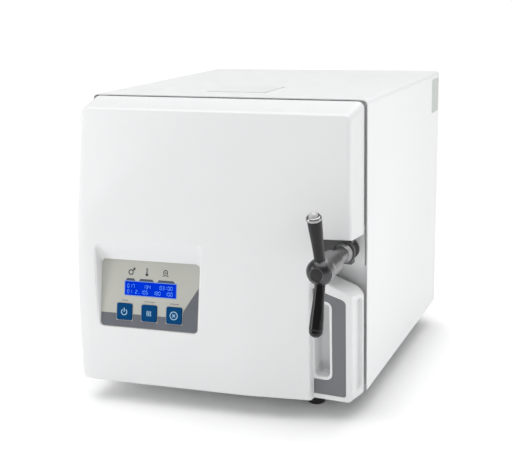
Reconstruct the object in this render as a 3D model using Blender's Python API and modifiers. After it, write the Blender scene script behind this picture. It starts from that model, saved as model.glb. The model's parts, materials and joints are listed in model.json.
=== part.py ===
"""Benchtop steam autoclave: a sheet-metal cabinet round a pressure chamber, with a moulded door
cover, a control panel set into the door and a two-armed clamp handle.

Metres, +Z up, front towards -Y. The origin is at the middle of the whole object's box, at table level.
Most places are given in the cabinet frame: from the casing's front, bottom, left corner, X to the
right, Y to the back and Z up.
"""

import math

import bmesh
import bpy
from mathutils import Matrix, Vector

# Casing
CASE_W = 0.415
CASE_D = 0.395
CASE_H = 0.400
SHEET = 0.0012
BEND_R = 0.007
FRAME_Y = 0.008  # the front frame sits back from the casing's front edge
FOOT_H = 0.038
FRONT_Y = -0.1343  # the casing's front edge, from the origin
GAP = 0.0003  # between two pieces that meet

# Chamber, on an axis along Y
CHAMBER_X = 0.2072
CHAMBER_Z = 0.206
CHAMBER_R = 0.115
VESSEL_WALL = 0.003
MOUTH_R = 0.145
MOUTH_LENGTH = 0.025
VESSEL_END = 0.345
DISH = 0.028
WOOL_T = 0.018

# Door hinge and clamp, as far from the chamber's axis on the left as on the right
HINGE_X = 0.0215
HINGE_Y = -0.024
PIN_R = 0.005
SLEEVE_R = 0.009
CLAMP_X = 0.393
YOKE_Y = (-0.030, -0.018)
YOKE_H = 0.034

# Door cover: outline at its back edge, and how far its front edge is drawn in on each side
COVER_LEFT = 0.004
COVER_RIGHT = 0.4112
COVER_BOTTOM = -0.008
COVER_TOP = 0.398
COVER_BACK = -0.003
COVER_WALL = 0.003
DRAW_IN = 0.0045
DRAW_IN_TOP = 0.011
FACE_DEPTH = 0.045
BULGE = 0.053
BULGE_TAPER = 0.115
CREASE_X = 0.260  # the scoop on the right starts here, and leans right above CREASE_Z
CREASE_Z = 0.185
CREASE_LEAN = 1.08
SCOOP_FALL = 0.075
SCOOP_TOP = 0.29
SCOOP_FADE = 0.04
PLATFORM_LEFT = 0.025  # the raised platform round the panel, and its slanting upper left edge
PLATFORM_SLANT = (0.0246, 0.239, -0.688, 0.725)  # a point on that edge, and the direction across it
PLATFORM_DROP = 0.16
PLATFORM_FADE = (0.12, 0.22)  # the edge fades out between these two places along X
STEP_X = 0.3502
GRIP_DEPTH = 0.040
NOTCH_TOP = 0.2243
NOTCH_LEFT = 0.358
NOTCH_FLOOR = 0.1675
NOTCH_FALL = 0.36  # the notch's floor falls this much per metre to the right
INLAY_DROP = 0.0152  # from the notch's floor to the inlay's top
INLAY_FALL = 0.30
POCKET = (0.3530, 0.3745, 0.0286, 0.1335)  # left, right, bottom, top
POCKET_BACK = -0.012

# Control panel
PANEL_W = 0.150
PANEL_H = 0.0967
PANEL_X = 0.0437
PANEL_Z = 0.080
PANEL_TILT = math.radians(12.45)
RECESS_FLOOR = -0.0025
RECESS_SPREAD = (-0.21, 0.45, -0.05, 1.36)  # how fast the recess widens: left, right, bottom, top
BUTTON = 0.0238
BUTTON_PITCH = 0.0382
BUTTON_AT = (0.0375, 0.0228)  # the first button's middle, along and up the panel
DISPLAY = (0.0368, 0.1160, 0.0468, 0.0668)  # left, right, bottom, top
PLATE_T = 0.0012  # the panel's plate, and how deep it is set in the face

# Handle
HUB_Y = -0.118
HUB_R = 0.0175
BARREL_R = 0.0158
NECK_R = 0.0104
ARM_SWEEP = math.radians(16.5)
ARM_LENGTH = 0.077
ARM_ROOT_R = 0.0068
ARM_TIP_R = 0.0090

# Filler lid in the casing's top
LID = (0.160, 0.250, 0.052, 0.122)  # left, right, front, back
LID_T = 0.003
LID_GAP = 0.001


def clear_scene():
    for obj in list(bpy.data.objects):
        bpy.data.objects.remove(obj, do_unlink=True)


def new_collection(name, hidden=False):
    collection = bpy.data.collections.new(name)
    collection.hide_render = hidden
    bpy.context.scene.collection.children.link(collection)
    return collection


clear_scene()
PARTS = new_collection("benchtop_autoclave")
CUTTERS = new_collection("cutters", hidden=True)


def new_material(name, colour, roughness, metallic=0.0):
    material = bpy.data.materials.new(name)
    material.use_nodes = True
    shader = material.node_tree.nodes["Principled BSDF"]
    shader.inputs["Base Color"].default_value = (*colour, 1)
    shader.inputs["Roughness"].default_value = roughness
    shader.inputs["Metallic"].default_value = metallic
    return material


WHITE_PAINT = new_material("white_paint", (0.86, 0.86, 0.86), 0.35)
WHITE_PLASTIC = new_material("white_plastic", (0.88, 0.88, 0.88), 0.3)
GREY_PLASTIC = new_material("grey_plastic", (0.20, 0.22, 0.24), 0.45)
PANEL_FILM = new_material("panel_film", (0.50, 0.49, 0.46), 0.35)
LCD_BLUE = new_material("lcd_blue", (0.01, 0.05, 0.75), 0.15)
BUTTON_BLUE = new_material("button_blue", (0.01, 0.07, 0.19), 0.35)
BLACK_PLASTIC = new_material("black_plastic", (0.03, 0.03, 0.03), 0.3)
RUBBER = new_material("rubber", (0.02, 0.02, 0.02), 0.8)
SILICONE = new_material("silicone", (0.75, 0.74, 0.70), 0.6)
STEEL = new_material("brushed_steel", (0.55, 0.55, 0.54), 0.35, 1.0)
CHROME = new_material("chrome", (0.75, 0.75, 0.75), 0.12, 1.0)
BRASS = new_material("brass", (0.70, 0.50, 0.22), 0.3, 1.0)
BOARD = new_material("circuit_board", (0.02, 0.15, 0.06), 0.5)
WOOL = new_material("insulation", (0.65, 0.60, 0.45), 0.9)
TANK_PLASTIC = new_material("tank_plastic", (0.80, 0.80, 0.76), 0.5)


def new_empty(name, place, parent=None):
    empty = bpy.data.objects.new(name, None)
    empty.location = place
    empty.parent = parent
    PARTS.objects.link(empty)
    return empty


CABINET = new_empty("cabinet", (-CASE_W / 2, FRONT_Y, FOOT_H))


def pivot(name, place, parent):
    """An empty on a joint's axis, at a place in the cabinet frame."""
    at = Vector(place)
    up = parent
    while up is not CABINET:
        at -= up.location
        up = up.parent
    return new_empty(name, at, parent)


DOOR = pivot("door_pivot", (HINGE_X, HINGE_Y, CHAMBER_Z), CABINET)
COLLAR = pivot("clamp_slide", (CLAMP_X, YOKE_Y[0], CHAMBER_Z), DOOR)
HANDLE = pivot("handle_pivot", (CLAMP_X, HUB_Y, CHAMBER_Z), COLLAR)
FILLER = pivot("lid_pivot", (LID[0], LID[3], CASE_H), CABINET)


def hold(obj, parent):
    """Parents an object that was placed in the cabinet frame."""
    pivots = []
    while parent is not CABINET:
        pivots.append(parent)
        parent = parent.parent
    obj.parent = pivots[0] if pivots else CABINET
    for up in pivots:
        obj.location -= up.location


def finish(obj, material, parent):
    """Adds a piece to the model: its material, its parent and smooth shading with sharp edges."""
    PARTS.objects.link(obj)
    obj.data.materials.append(material)
    if obj.type == "MESH":
        obj.data.shade_smooth()
        obj.data.set_sharp_from_angle(angle=math.radians(35))
    hold(obj, parent)
    return obj


def cutter(obj, parent=CABINET):
    CUTTERS.objects.link(obj)
    obj.hide_render = True
    obj.display_type = "WIRE"
    hold(obj, parent)
    return obj


def combine(obj, other, operation="DIFFERENCE", solver="EXACT"):
    modifier = obj.modifiers.new(operation.lower(), "BOOLEAN")
    modifier.operation = operation
    modifier.object = other
    modifier.solver = solver


def from_bmesh(name, bm, place=(0, 0, 0)):
    bmesh.ops.recalc_face_normals(bm, faces=bm.faces)
    mesh = bpy.data.meshes.new(name)
    bm.to_mesh(mesh)
    bm.free()
    obj = bpy.data.objects.new(name, mesh)
    obj.location = place
    return obj


def box(name, low, high, bevel=0.0, segments=2):
    low, high = Vector(low), Vector(high)
    bm = bmesh.new()
    bmesh.ops.create_cube(bm, size=1, matrix=Matrix.Diagonal((*(high - low), 1)))
    obj = from_bmesh(name, bm, (low + high) / 2)
    if bevel:
        modifier = obj.modifiers.new("bevel", "BEVEL")
        modifier.width = bevel
        modifier.segments = segments
    return obj


def rod(name, start, end, radius, sides=32, end_radius=None):
    """A cylinder or cone from one point to another."""
    start, end = Vector(start), Vector(end)
    bm = bmesh.new()
    bmesh.ops.create_cone(
        bm, cap_ends=True, segments=sides, depth=(end - start).length,
        radius1=radius, radius2=radius if end_radius is None else end_radius,
    )
    obj = from_bmesh(name, bm, (start + end) / 2)
    obj.rotation_euler = (end - start).to_track_quat("Z", "Y").to_euler()
    return obj


def turned(name, profile, place, along=(0, 0, 1), steps=32, closed=False):
    """A profile of (radius, height) points turned about the direction along, from place."""
    bm = bmesh.new()
    points = [bm.verts.new((radius, 0, height)) for radius, height in profile]
    for first, second in zip(points, points[1:]):
        bm.edges.new((first, second))
    if closed:
        bm.edges.new((points[-1], points[0]))
    mesh = bpy.data.meshes.new(name)
    bm.to_mesh(mesh)
    bm.free()
    obj = bpy.data.objects.new(name, mesh)
    obj.location = place
    obj.rotation_euler = Vector(along).to_track_quat("Z", "Y").to_euler()
    screw = obj.modifiers.new("screw", "SCREW")
    screw.steps = screw.render_steps = steps
    screw.use_merge_vertices = True
    screw.merge_threshold = 0.00005
    screw.use_smooth_shade = True
    return obj


def ring(name, inner, outer, low, high, place, along, steps=48):
    profile = [(outer, high), (outer, low), (inner, low), (inner, high)]
    return turned(name, profile, place, along, steps, closed=True)


def rounded(left, right, low, high, radius, segments=4):
    """The outline of a rectangle with round corners, anticlockwise."""
    corners = [(right, low, -90), (right, high, 0), (left, high, 90), (left, low, 180)]
    points = []
    for x, y, angle in corners:
        cx = x - math.copysign(radius, x - (left + right) / 2)
        cy = y - math.copysign(radius, y - (low + high) / 2)
        for step in range(segments + 1):
            turn = math.radians(angle + 90 * step / segments)
            points.append((cx + radius * math.cos(turn), cy + radius * math.sin(turn)))
    return points


def circle(x, y, radius, sides=32):
    turns = [2 * math.pi * step / sides for step in range(sides)]
    return [(x + radius * math.cos(turn), y + radius * math.sin(turn)) for turn in turns]


PLANES = {
    "XY": Matrix.Identity(3),
    "XZ": Matrix(((1, 0, 0), (0, 0, -1), (0, 1, 0))),
    "YZ": Matrix(((0, 0, 1), (1, 0, 0), (0, 1, 0))),
}


def flat(name, outlines, thickness, place=(0, 0, 0), plane="XZ"):
    """A flat sheet with holes: the first outline is its edge. It is centred on its plane."""
    data = bpy.data.curves.new(name, "CURVE")
    data.dimensions = "2D"
    data.fill_mode = "BOTH"
    data.extrude = thickness / 2
    for outline in outlines:
        spline = data.splines.new("POLY")
        spline.points.add(len(outline) - 1)
        for point, (x, y) in zip(spline.points, outline):
            point.co = (x, y, 0, 1)
        spline.use_cyclic_u = True
    guide = bpy.data.objects.new(name, data)
    bpy.context.scene.collection.objects.link(guide)
    graph = bpy.context.evaluated_depsgraph_get()
    mesh = bpy.data.meshes.new_from_object(guide.evaluated_get(graph))
    bpy.data.objects.remove(guide)
    bm = bmesh.new()
    bm.from_mesh(mesh)
    bmesh.ops.remove_doubles(bm, verts=bm.verts, dist=0.00002)
    bpy.data.meshes.remove(mesh)
    obj = from_bmesh(name, bm, place)
    obj.rotation_euler = PLANES[plane].to_euler()
    return obj


def loft(name, sections, place=(0, 0, 0), turn=None):
    """A closed solid through sections, each a list of as many 3-D points."""
    bm = bmesh.new()
    loops = [[bm.verts.new(point) for point in section] for section in sections]
    for below, above in zip(loops, loops[1:]):
        for i in range(len(below)):
            j = (i + 1) % len(below)
            bm.faces.new((below[i], below[j], above[j], above[i]))
    bm.faces.new(loops[0][::-1])
    bm.faces.new(loops[-1])
    obj = from_bmesh(name, bm, place)
    if turn is not None:
        obj.rotation_euler = turn.to_euler()
    return obj


def smooth_route(points, per_span=4):
    """Points along a Catmull-Rom curve through the route's own points."""
    points = [Vector(point) for point in points]
    ends = [2 * points[0] - points[1], *points, 2 * points[-1] - points[-2]]
    route = []
    for a, b, c, d in zip(ends, ends[1:], ends[2:], ends[3:]):
        for step in range(per_span):
            t = step / per_span
            square = (2 * a - 5 * b + 4 * c - d) * t**2
            cube = (3 * b - a - 3 * c + d) * t**3
            route.append(0.5 * (2 * b + (c - a) * t + square + cube))
    return [*route, points[-1]]


def tube(name, points, radius, material, parent=CABINET):
    data = bpy.data.curves.new(name, "CURVE")
    data.dimensions = "3D"
    data.bevel_depth = radius
    data.bevel_resolution = 2
    data.use_fill_caps = True
    route = smooth_route(points)
    spline = data.splines.new("POLY")
    spline.points.add(len(route) - 1)
    for point, place in zip(spline.points, route):
        point.co = (*place, 1)
    obj = bpy.data.objects.new(name, data)
    PARTS.objects.link(obj)
    data.materials.append(material)
    hold(obj, parent)
    return obj


# Cabinet ---------------------------------------------------------------------------------------


def arch(inset, radius, segments=6):
    """An upright arch's outline inside the casing, open at the bottom, from left to right."""
    left, right, top = inset, CASE_W - inset, CASE_H - inset
    points = [(left, 0.0)]
    for centre, start in (((left + radius, top - radius), 180), ((right - radius, top - radius), 90)):
        for step in range(segments + 1):
            turn = math.radians(start - 90 * step / segments)
            points.append((centre[0] + radius * math.cos(turn), centre[1] + radius * math.sin(turn)))
    return [*points, (right, 0.0)]


def make_casing():
    outline = arch(0, BEND_R) + arch(SHEET, BEND_R - SHEET)[::-1]
    wrap = flat("casing_wrap", [outline], CASE_D, (0, CASE_D / 2, 0))
    left, right, front, back = LID
    low = (left - LID_GAP, front - LID_GAP, CASE_H - 0.01)
    hole = box("lid_hole", low, (right + LID_GAP, back + 2 * LID_GAP, CASE_H + 0.01))
    combine(wrap, cutter(hole))
    finish(wrap, WHITE_PAINT, CABINET)

    inside = SHEET + GAP
    edge = rounded(inside, CASE_W - inside, GAP, CASE_H - inside, BEND_R)
    mouth = circle(CHAMBER_X, CHAMBER_Z, MOUTH_R + 2 * GAP, 48)
    frame = flat("front_frame", [edge, mouth], SHEET, (0, FRAME_Y + SHEET / 2, 0))
    finish(frame, WHITE_PAINT, CABINET)


def make_base():
    front, back, rise = FRAME_Y + SHEET + GAP, CASE_D - 2 * SHEET - GAP, 0.02
    low = SHEET
    outline = [
        (front, rise), (front, 0.0), (back, 0.0), (back, rise),
        (back - low, rise), (back - low, low), (front + low, low), (front + low, rise),
    ]
    width = CASE_W - 2 * (SHEET + GAP)
    base = flat("base_chassis", [outline], width, (CASE_W / 2, 0, 0), "YZ")
    finish(base, STEEL, CABINET)


def make_feet():
    end = GAP - FOOT_H
    profile = [(0, 0), (0.0145, 0), (0.0145, -0.006), (0.0125, end + 0.0010), (0.0115, end), (0, end)]
    for side, x in (("left", 0.081), ("right", 0.334)):
        for row, y in (("front", 0.0168), ("rear", 0.355)):
            foot = turned(f"foot_{row}_{side}", profile, (x, y, -GAP), steps=24)
            finish(foot, RUBBER, CABINET)


SLOT_ROWS = 6
SLOT_Z = 0.150
SLOT_PITCH = 0.012
SLOT_H = 0.005
SLOT_W = 0.06
INLET = (0.060, 0.088, 0.040, 0.064)
SWITCH = (0.104, 0.126, 0.040, 0.064)
FUSE = (0.150, 0.052)
SAFETY_X = 0.2072
SAFETY_Z = 0.33
DRAIN = (0.345, 0.040)


def make_rear_panel():
    inside = SHEET + GAP
    holes = [rounded(INLET[0] - GAP, INLET[1] + GAP, INLET[2] - GAP, INLET[3] + GAP, 0.002, 2)]
    holes.append(rounded(SWITCH[0] - GAP, SWITCH[1] + GAP, SWITCH[2] - GAP, SWITCH[3] + GAP, 0.001, 2))
    holes.append(circle(*FUSE, 0.006 + GAP, 16))
    holes.append(circle(SAFETY_X, SAFETY_Z, 0.009, 24))
    holes.append(circle(*DRAIN, 0.0075, 24))
    for row in range(SLOT_ROWS):
        z = SLOT_Z + SLOT_PITCH * row
        holes += [rounded(x, x + SLOT_W, z, z + SLOT_H, 0.0024, 2) for x in (0.035, 0.320)]
    edge = rounded(inside, CASE_W - inside, GAP, CASE_H - inside, BEND_R)
    panel = flat("rear_panel", [edge, *holes], SHEET, (0, CASE_D - SHEET * 1.5, 0))
    finish(panel, WHITE_PAINT, CABINET)


REAR = CASE_D - SHEET  # the rear panel's outer face


def make_rear_fittings():
    left, right, low, high = INLET
    inlet = box("power_inlet", (left, REAR - 0.022, low), (right, REAR + 0.003, high), 0.002)
    corner = (left + 0.003, REAR - 0.016, low + 0.004)
    socket = box("inlet_socket", corner, (right - 0.003, REAR + 0.01, high - 0.004))
    combine(inlet, cutter(socket))
    finish(inlet, BLACK_PLASTIC, CABINET)

    left, right, low, high = SWITCH
    frame = box("switch_frame", (left, REAR - 0.020, low), (right, REAR + 0.002, high), 0.001)
    corner = (left + 0.002, REAR - 0.017, low + 0.002)
    well = box("switch_well", corner, (right - 0.002, REAR + 0.01, high - 0.002))
    combine(frame, cutter(well))
    finish(frame, BLACK_PLASTIC, CABINET)

    profile = [
        (0, 0.008), (0.0065, 0.008), (0.008, 0.006), (0.008, GAP), (0.006, GAP), (0.006, -0.03), (0, -0.03),
    ]
    fuse = turned("fuse_holder", profile, (FUSE[0], REAR, FUSE[1]), (0, 1, 0), 16)
    finish(fuse, BLACK_PLASTIC, CABINET)

    profile = [
        (0.0105, 0.016), (0.0105, GAP), (0.0085, GAP), (0.0085, -0.022), (0.003, -0.022), (0.003, 0.016),
    ]
    body = turned("safety_valve_body", profile, (SAFETY_X, REAR, SAFETY_Z), (0, 1, 0), 24, closed=True)
    finish(body, BRASS, CABINET)

    profile = [
        (0, 0.022), (0.0045, 0.022), (0.0045, 0.018), (0.0075, 0.017), (0.0075, GAP), (0.007, GAP),
        (0.007, -0.03), (0, -0.03),
    ]
    finish(turned("drain_tap", profile, (DRAIN[0], REAR, DRAIN[1]), (0, 1, 0), 24), BRASS, CABINET)


def make_rocker():
    """The mains rocker, tipped to its off side. Its axis is level, along X."""
    left, right, low, high = SWITCH
    at = (left + 0.0025, REAR - 0.003, (low + high) / 2)
    rocker_pivot = pivot("rocker_pivot", at, CABINET)
    half = (high - low) / 2 - 0.0028
    outline = [
        (-0.006, -half + 0.002), (0.0030, -half), (0.0042, 0), (0.0030, half), (-0.006, half - 0.002),
    ]
    middle = ((left + right) / 2, at[1], at[2])
    rocker = flat("mains_rocker", [outline], right - left - 0.005, middle, "YZ")
    finish(rocker, BLACK_PLASTIC, rocker_pivot)
    rocker_pivot.rotation_euler = (math.radians(8), 0, 0)


def make_safety_stem():
    """The safety valve's lift stem, which pulls out along +Y by its knob."""
    at = (SAFETY_X, REAR + 0.0165, SAFETY_Z)
    stem_pivot = pivot("safety_pivot", at, CABINET)
    profile = [
        (0, 0.006), (0.005, 0.006), (0.0065, 0.0045), (0.0065, 0.0), (0.0022, 0.0), (0.0022, -0.034),
        (0, -0.034),
    ]
    finish(turned("safety_valve_stem", profile, at, (0, 1, 0), 16), BRASS, stem_pivot)


# Chamber ---------------------------------------------------------------------------------------


def make_chamber():
    axis = (CHAMBER_X, 0, CHAMBER_Z)
    back = (0, 1, 0)
    finish(ring("mouth_ring", CHAMBER_R, MOUTH_R, 0, MOUTH_LENGTH, axis, back), STEEL, CABINET)

    outer, inner = CHAMBER_R + VESSEL_WALL, CHAMBER_R
    front, corner = MOUTH_LENGTH + GAP, VESSEL_END - DISH
    turns = (0, 0.45, 0.85, 1.2, math.pi / 2)
    hollow = DISH - VESSEL_WALL
    outside = [(outer * math.sin(t), corner + DISH * math.cos(t)) for t in turns]
    inside = [(inner * math.sin(t), corner + hollow * math.cos(t)) for t in reversed(turns)]
    profile = [*outside, (outer, front), (inner, front), *inside]
    finish(turned("pressure_vessel", profile, axis, back, 48), STEEL, CABINET)

    heater_r = outer + GAP
    finish(ring("band_heater", heater_r, heater_r + 0.006, 0.034, 0.094, axis, back), STEEL, CABINET)
    wool = heater_r + WOOL_T
    finish(ring("insulation", heater_r, wool, 0.100, 0.31, axis, back), WOOL, CABINET)


def make_cradles():
    """Two sheet saddles that carry the vessel on the base."""
    radius = CHAMBER_R + VESSEL_WALL + GAP + WOOL_T + GAP
    low, half = SHEET + GAP, 0.085
    reach = math.asin(half / radius)
    arc = [math.radians(270) + reach * (1 - step / 6) for step in range(13)]
    cup = [(CHAMBER_X + radius * math.cos(t), CHAMBER_Z + radius * math.sin(t)) for t in arc]
    outline = [(CHAMBER_X - half, low), (CHAMBER_X + half, low), *cup]
    for name, y in (("cradle_front", 0.115), ("cradle_rear", 0.280)):
        finish(flat(name, [outline], 0.003, (0, y, 0)), STEEL, CABINET)


TRAY_LEVELS = (0.150, 0.215)
TRAY_HALF = 0.084
TRAY_Y = (0.035, 0.305)
TRAY_RIM = 0.012


def make_trays():
    """Two sterilising trays on a pair of racks with ledges."""
    for level, z in enumerate(TRAY_LEVELS, 1):
        bm = bmesh.new()
        bmesh.ops.create_cube(bm, size=1)
        size = Vector((2 * TRAY_HALF, TRAY_Y[1] - TRAY_Y[0], TRAY_RIM))
        bmesh.ops.scale(bm, vec=size, verts=bm.verts)
        top = max(bm.faces, key=lambda face: face.calc_center_median().z)
        bmesh.ops.delete(bm, geom=[top], context="FACES_ONLY")
        tray = from_bmesh(f"tray_{level}", bm, (CHAMBER_X, sum(TRAY_Y) / 2, z + TRAY_RIM / 2))
        shell = tray.modifiers.new("sheet", "SOLIDIFY")
        shell.thickness = 0.001
        shell.use_even_offset = True
        finish(tray, STEEL, CABINET)
    for side, sign in (("left", -1), ("right", 1)):
        outer, sheet, ledge = TRAY_HALF + 0.0025, 0.0012, 0.008
        low, high = TRAY_LEVELS[0] - 0.012, TRAY_LEVELS[1] + 0.022
        x = [CHAMBER_X + sign * (outer + shift) for shift in (0, -sheet, -ledge)]
        outline = [(x[0], low), (x[1], low)]
        for z in TRAY_LEVELS:
            outline += [(x[1], z - GAP - sheet), (x[2], z - GAP - sheet), (x[2], z - GAP), (x[1], z - GAP)]
        outline += [(x[1], high), (x[0], high)]
        length = TRAY_Y[1] - TRAY_Y[0]
        rack = flat(f"tray_rack_{side}", [outline], length, (0, sum(TRAY_Y) / 2, 0))
        finish(rack, STEEL, CABINET)


# Water and electrics -----------------------------------------------------------------------------


def make_tank():
    """The water tank above the vessel, with a filler opening under the casing's lid."""
    left, right, front, back = LID
    low, high = (0.050, 0.030, 0.3500), (0.365, 0.300, CASE_H - 0.006)
    tank = box("water_tank", low, high, 0.004)
    wall = 0.0025
    hollow = box("tank_hollow", [v + wall for v in low], [v - wall for v in high])
    combine(tank, cutter(hollow))
    corner = (left + 0.008, front + 0.008, CASE_H - 0.020)
    mouth = box("tank_mouth", corner, (right - 0.008, back - 0.010, CASE_H + 0.01))
    combine(tank, cutter(mouth))
    finish(tank, TANK_PLASTIC, CABINET)

    outline = rounded(left + 0.004, right - 0.004, front + 0.004, back - 0.006, 0.004, 2)
    hole = rounded(left + 0.008, right - 0.008, front + 0.008, back - 0.010, 0.003, 2)
    low_z, high_z = CASE_H - 0.006 + GAP, CASE_H - LID_T - GAP
    collar = flat("filler_collar", [outline, hole], high_z - low_z, (0, 0, (low_z + high_z) / 2), "XY")
    finish(collar, TANK_PLASTIC, CABINET)


def make_lid():
    left, right, front, back = LID
    edge = rounded(left, right, front, back, 0.005, 3)
    lid = flat("filler_lid", [edge], LID_T, (0, 0, CASE_H - LID_T / 2 + 0.0004), "XY")
    finish(lid, WHITE_PLASTIC, FILLER)


def make_plumbing():
    for name, x, y in (("fill_valve", 0.345, 0.335), ("exhaust_valve", 0.070, 0.335)):
        body = box(f"{name}_body", (x - 0.014, y - 0.012, 0.090), (x + 0.014, y + 0.012, 0.114), 0.002)
        finish(body, BRASS, CABINET)
        coil = box(f"{name}_coil", (x - 0.016, y - 0.016, 0.114 + GAP), (x + 0.016, y + 0.016, 0.150), 0.003)
        finish(coil, BLACK_PLASTIC, CABINET)
    radius = 0.003
    fill = [
        (0.340, 0.3008, 0.372), (0.340, 0.310, 0.372), (0.350, 0.324, 0.370), (0.385, 0.333, 0.340),
        (0.385, 0.335, 0.180), (0.385, 0.335, 0.115), (0.372, 0.335, 0.102), (0.359 + GAP, 0.335, 0.102),
    ]
    tube("fill_pipe", fill, radius, BRASS)
    exhaust = [
        (0.084 + GAP, 0.335, 0.102), (0.110, 0.338, 0.102), (0.160, 0.352, 0.110),
        (CHAMBER_X, 0.366, 0.150), (CHAMBER_X, 0.366, CHAMBER_Z - 0.012), (CHAMBER_X, 0.356, CHAMBER_Z),
        (CHAMBER_X, VESSEL_END + 0.0008, CHAMBER_Z),
    ]
    tube("exhaust_pipe", exhaust, radius, BRASS)
    drain_x, drain_z = DRAIN
    drain = [
        (drain_x, REAR - 0.030 - GAP, drain_z), (drain_x, 0.350, drain_z), (drain_x, 0.337, 0.055),
        (drain_x, 0.335, 0.090 - GAP),
    ]
    tube("drain_pipe", drain, radius, SILICONE)


def make_electrics():
    board = box("control_board", (0.392, 0.060, 0.060), (0.3936, 0.240, 0.200))
    finish(board, BOARD, CABINET)
    supply = box("power_supply", (0.020, 0.180, 0.004), (0.085, 0.290, 0.052), 0.002)
    finish(supply, STEEL, CABINET)


# Hinge and clamp -------------------------------------------------------------------------------

EAR = 0.005
EAR_SPAN = 0.054  # over both ears


def make_hinge():
    """A channel on the front frame whose two ears hold the upright pin."""
    back, tip = FRAME_Y - GAP, HINGE_Y - SLEEVE_R
    low, high = CHAMBER_Z - EAR_SPAN / 2, CHAMBER_Z + EAR_SPAN / 2
    outline = [
        (back, low), (back, high), (tip, high), (tip, high - EAR),
        (back - EAR, high - EAR), (back - EAR, low + EAR), (tip, low + EAR), (tip, low),
    ]
    bracket = flat("hinge_bracket", [outline[::-1]], 2 * SLEEVE_R, (HINGE_X, 0, 0), "YZ")
    hole = rod("pin_hole", (HINGE_X, HINGE_Y, low - 0.01), (HINGE_X, HINGE_Y, high + 0.01), PIN_R + GAP)
    combine(bracket, cutter(hole))
    finish(bracket, STEEL, CABINET)
    profile = [
        (0, 0.0305), (0.0065, 0.0305), (0.0075, 0.0295), (0.0075, EAR_SPAN / 2 + GAP),
        (PIN_R, EAR_SPAN / 2 + GAP), (PIN_R, -0.030), (0, -0.030),
    ]
    finish(turned("hinge_pin", profile, (HINGE_X, HINGE_Y, CHAMBER_Z), steps=24), STEEL, CABINET)


STUD_R = 0.0050
STUD_TIP = -0.048


def make_stud():
    """The fixed clamp stud on its plate."""
    half_w, half_h = 0.0175, 0.030
    edge = rounded(CLAMP_X - half_w, CLAMP_X + half_w, CHAMBER_Z - half_h, CHAMBER_Z + half_h, 0.003, 3)
    plate_t = 0.006
    plate = flat("stud_plate", [edge], plate_t, (0, FRAME_Y - GAP - plate_t / 2, 0))
    finish(plate, STEEL, CABINET)
    base = FRAME_Y - GAP - plate_t - GAP
    length = base - STUD_TIP
    profile = [
        (0, length), (STUD_R - 0.001, length), (STUD_R, length - 0.001), (STUD_R, 0.003), (0.009, 0.003),
        (0.009, 0), (0, 0),
    ]
    finish(turned("clamp_stud", profile, (CLAMP_X, base, CHAMBER_Z), (0, -1, 0), 24), STEEL, CABINET)


# Door ------------------------------------------------------------------------------------------


def ramp(value, width):
    """Zero below 0 and value above it, with a round turn of this width between them."""
    if value <= -width:
        return 0.0
    if value >= width:
        return value
    return (value + width) ** 2 / (4 * width)


def face_depth(x, z):
    """How far the cover's face stands in front of the casing's front edge, at a place on it."""
    fall = min(max((COVER_TOP - 0.003 - z) / CASE_H, 0), 1)
    swell = 1 - (1 - fall) ** 2
    depth = FACE_DEPTH + swell * (BULGE - BULGE_TAPER * x)
    crease = CREASE_X + CREASE_LEAN * max(z - CREASE_Z, 0)
    scoop = min(max((SCOOP_TOP - z) / SCOOP_FADE, 0), 1)
    depth -= SCOOP_FALL * ramp(x - crease, 0.006) * scoop
    slant_x, slant_z, across_x, across_z = PLATFORM_SLANT
    slant = across_x * (x - slant_x) + across_z * (z - slant_z)
    outside = max(PLATFORM_LEFT - x, slant)
    solid_to, gone_at = PLATFORM_FADE
    fade = min(max((gone_at - x) / (gone_at - solid_to), 0), 1)
    return depth - PLATFORM_DROP * ramp(outside, 0.005) * swell * fade


def cover_depth(x, z):
    """face_depth, with the grip's sunken corner below the notch."""
    depth = face_depth(x, z)
    if x > STEP_X and z < NOTCH_FLOOR:
        return GRIP_DEPTH
    return depth


def stops(low, high, count, *extra):
    """Even stops with the extra ones put in, and any stop close to an extra one left out."""
    even = [low + (high - low) * step / (count - 1) for step in range(count)]
    kept = [value for value in even if all(abs(value - other) > 0.004 for other in extra)]
    return sorted([*kept, *extra])


def cover_solid(name, inset, back, columns, rows):
    """The cover's outer form, or its hollow when inset, as a closed solid from its face to back."""
    left, right = COVER_LEFT + DRAW_IN + inset, COVER_RIGHT - DRAW_IN - inset
    low, high = COVER_BOTTOM + DRAW_IN / 2 + inset, COVER_TOP - DRAW_IN_TOP - inset
    xs = stops(left, right, columns, STEP_X - inset, STEP_X + 0.0012 - inset)
    zs = stops(low, high, rows, NOTCH_FLOOR - 0.0005 + inset, NOTCH_FLOOR + 0.003 + inset)
    bm = bmesh.new()
    grid = [[bm.verts.new((x, inset - cover_depth(x + inset, z - inset), z)) for x in xs] for z in zs]
    for below, above in zip(grid, grid[1:]):
        for i in range(len(xs) - 1):
            bm.faces.new((below[i], below[i + 1], above[i + 1], above[i]))
    right_side = [row[-1] for row in grid[1:]]
    left_side = [row[0] for row in grid[-2:0:-1]]
    rim = grid[0] + right_side + grid[-1][-2::-1] + left_side
    span_x = (COVER_LEFT + inset - left, COVER_RIGHT - inset - right)
    span_z = (COVER_BOTTOM + inset - low, COVER_TOP - inset - high)
    skirt = []
    for vertex in rim:
        x, _, z = vertex.co
        x += span_x[0] if x <= left + 1e-6 else span_x[1] if x >= right - 1e-6 else 0
        z += span_z[0] if z <= low + 1e-6 else span_z[1] if z >= high - 1e-6 else 0
        skirt.append(bm.verts.new((x, back, z)))
    for i in range(len(rim)):
        j = (i + 1) % len(rim)
        bm.faces.new((rim[j], rim[i], skirt[i], skirt[j]))
    bm.faces.new(skirt[::-1])
    return from_bmesh(name, bm)


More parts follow.
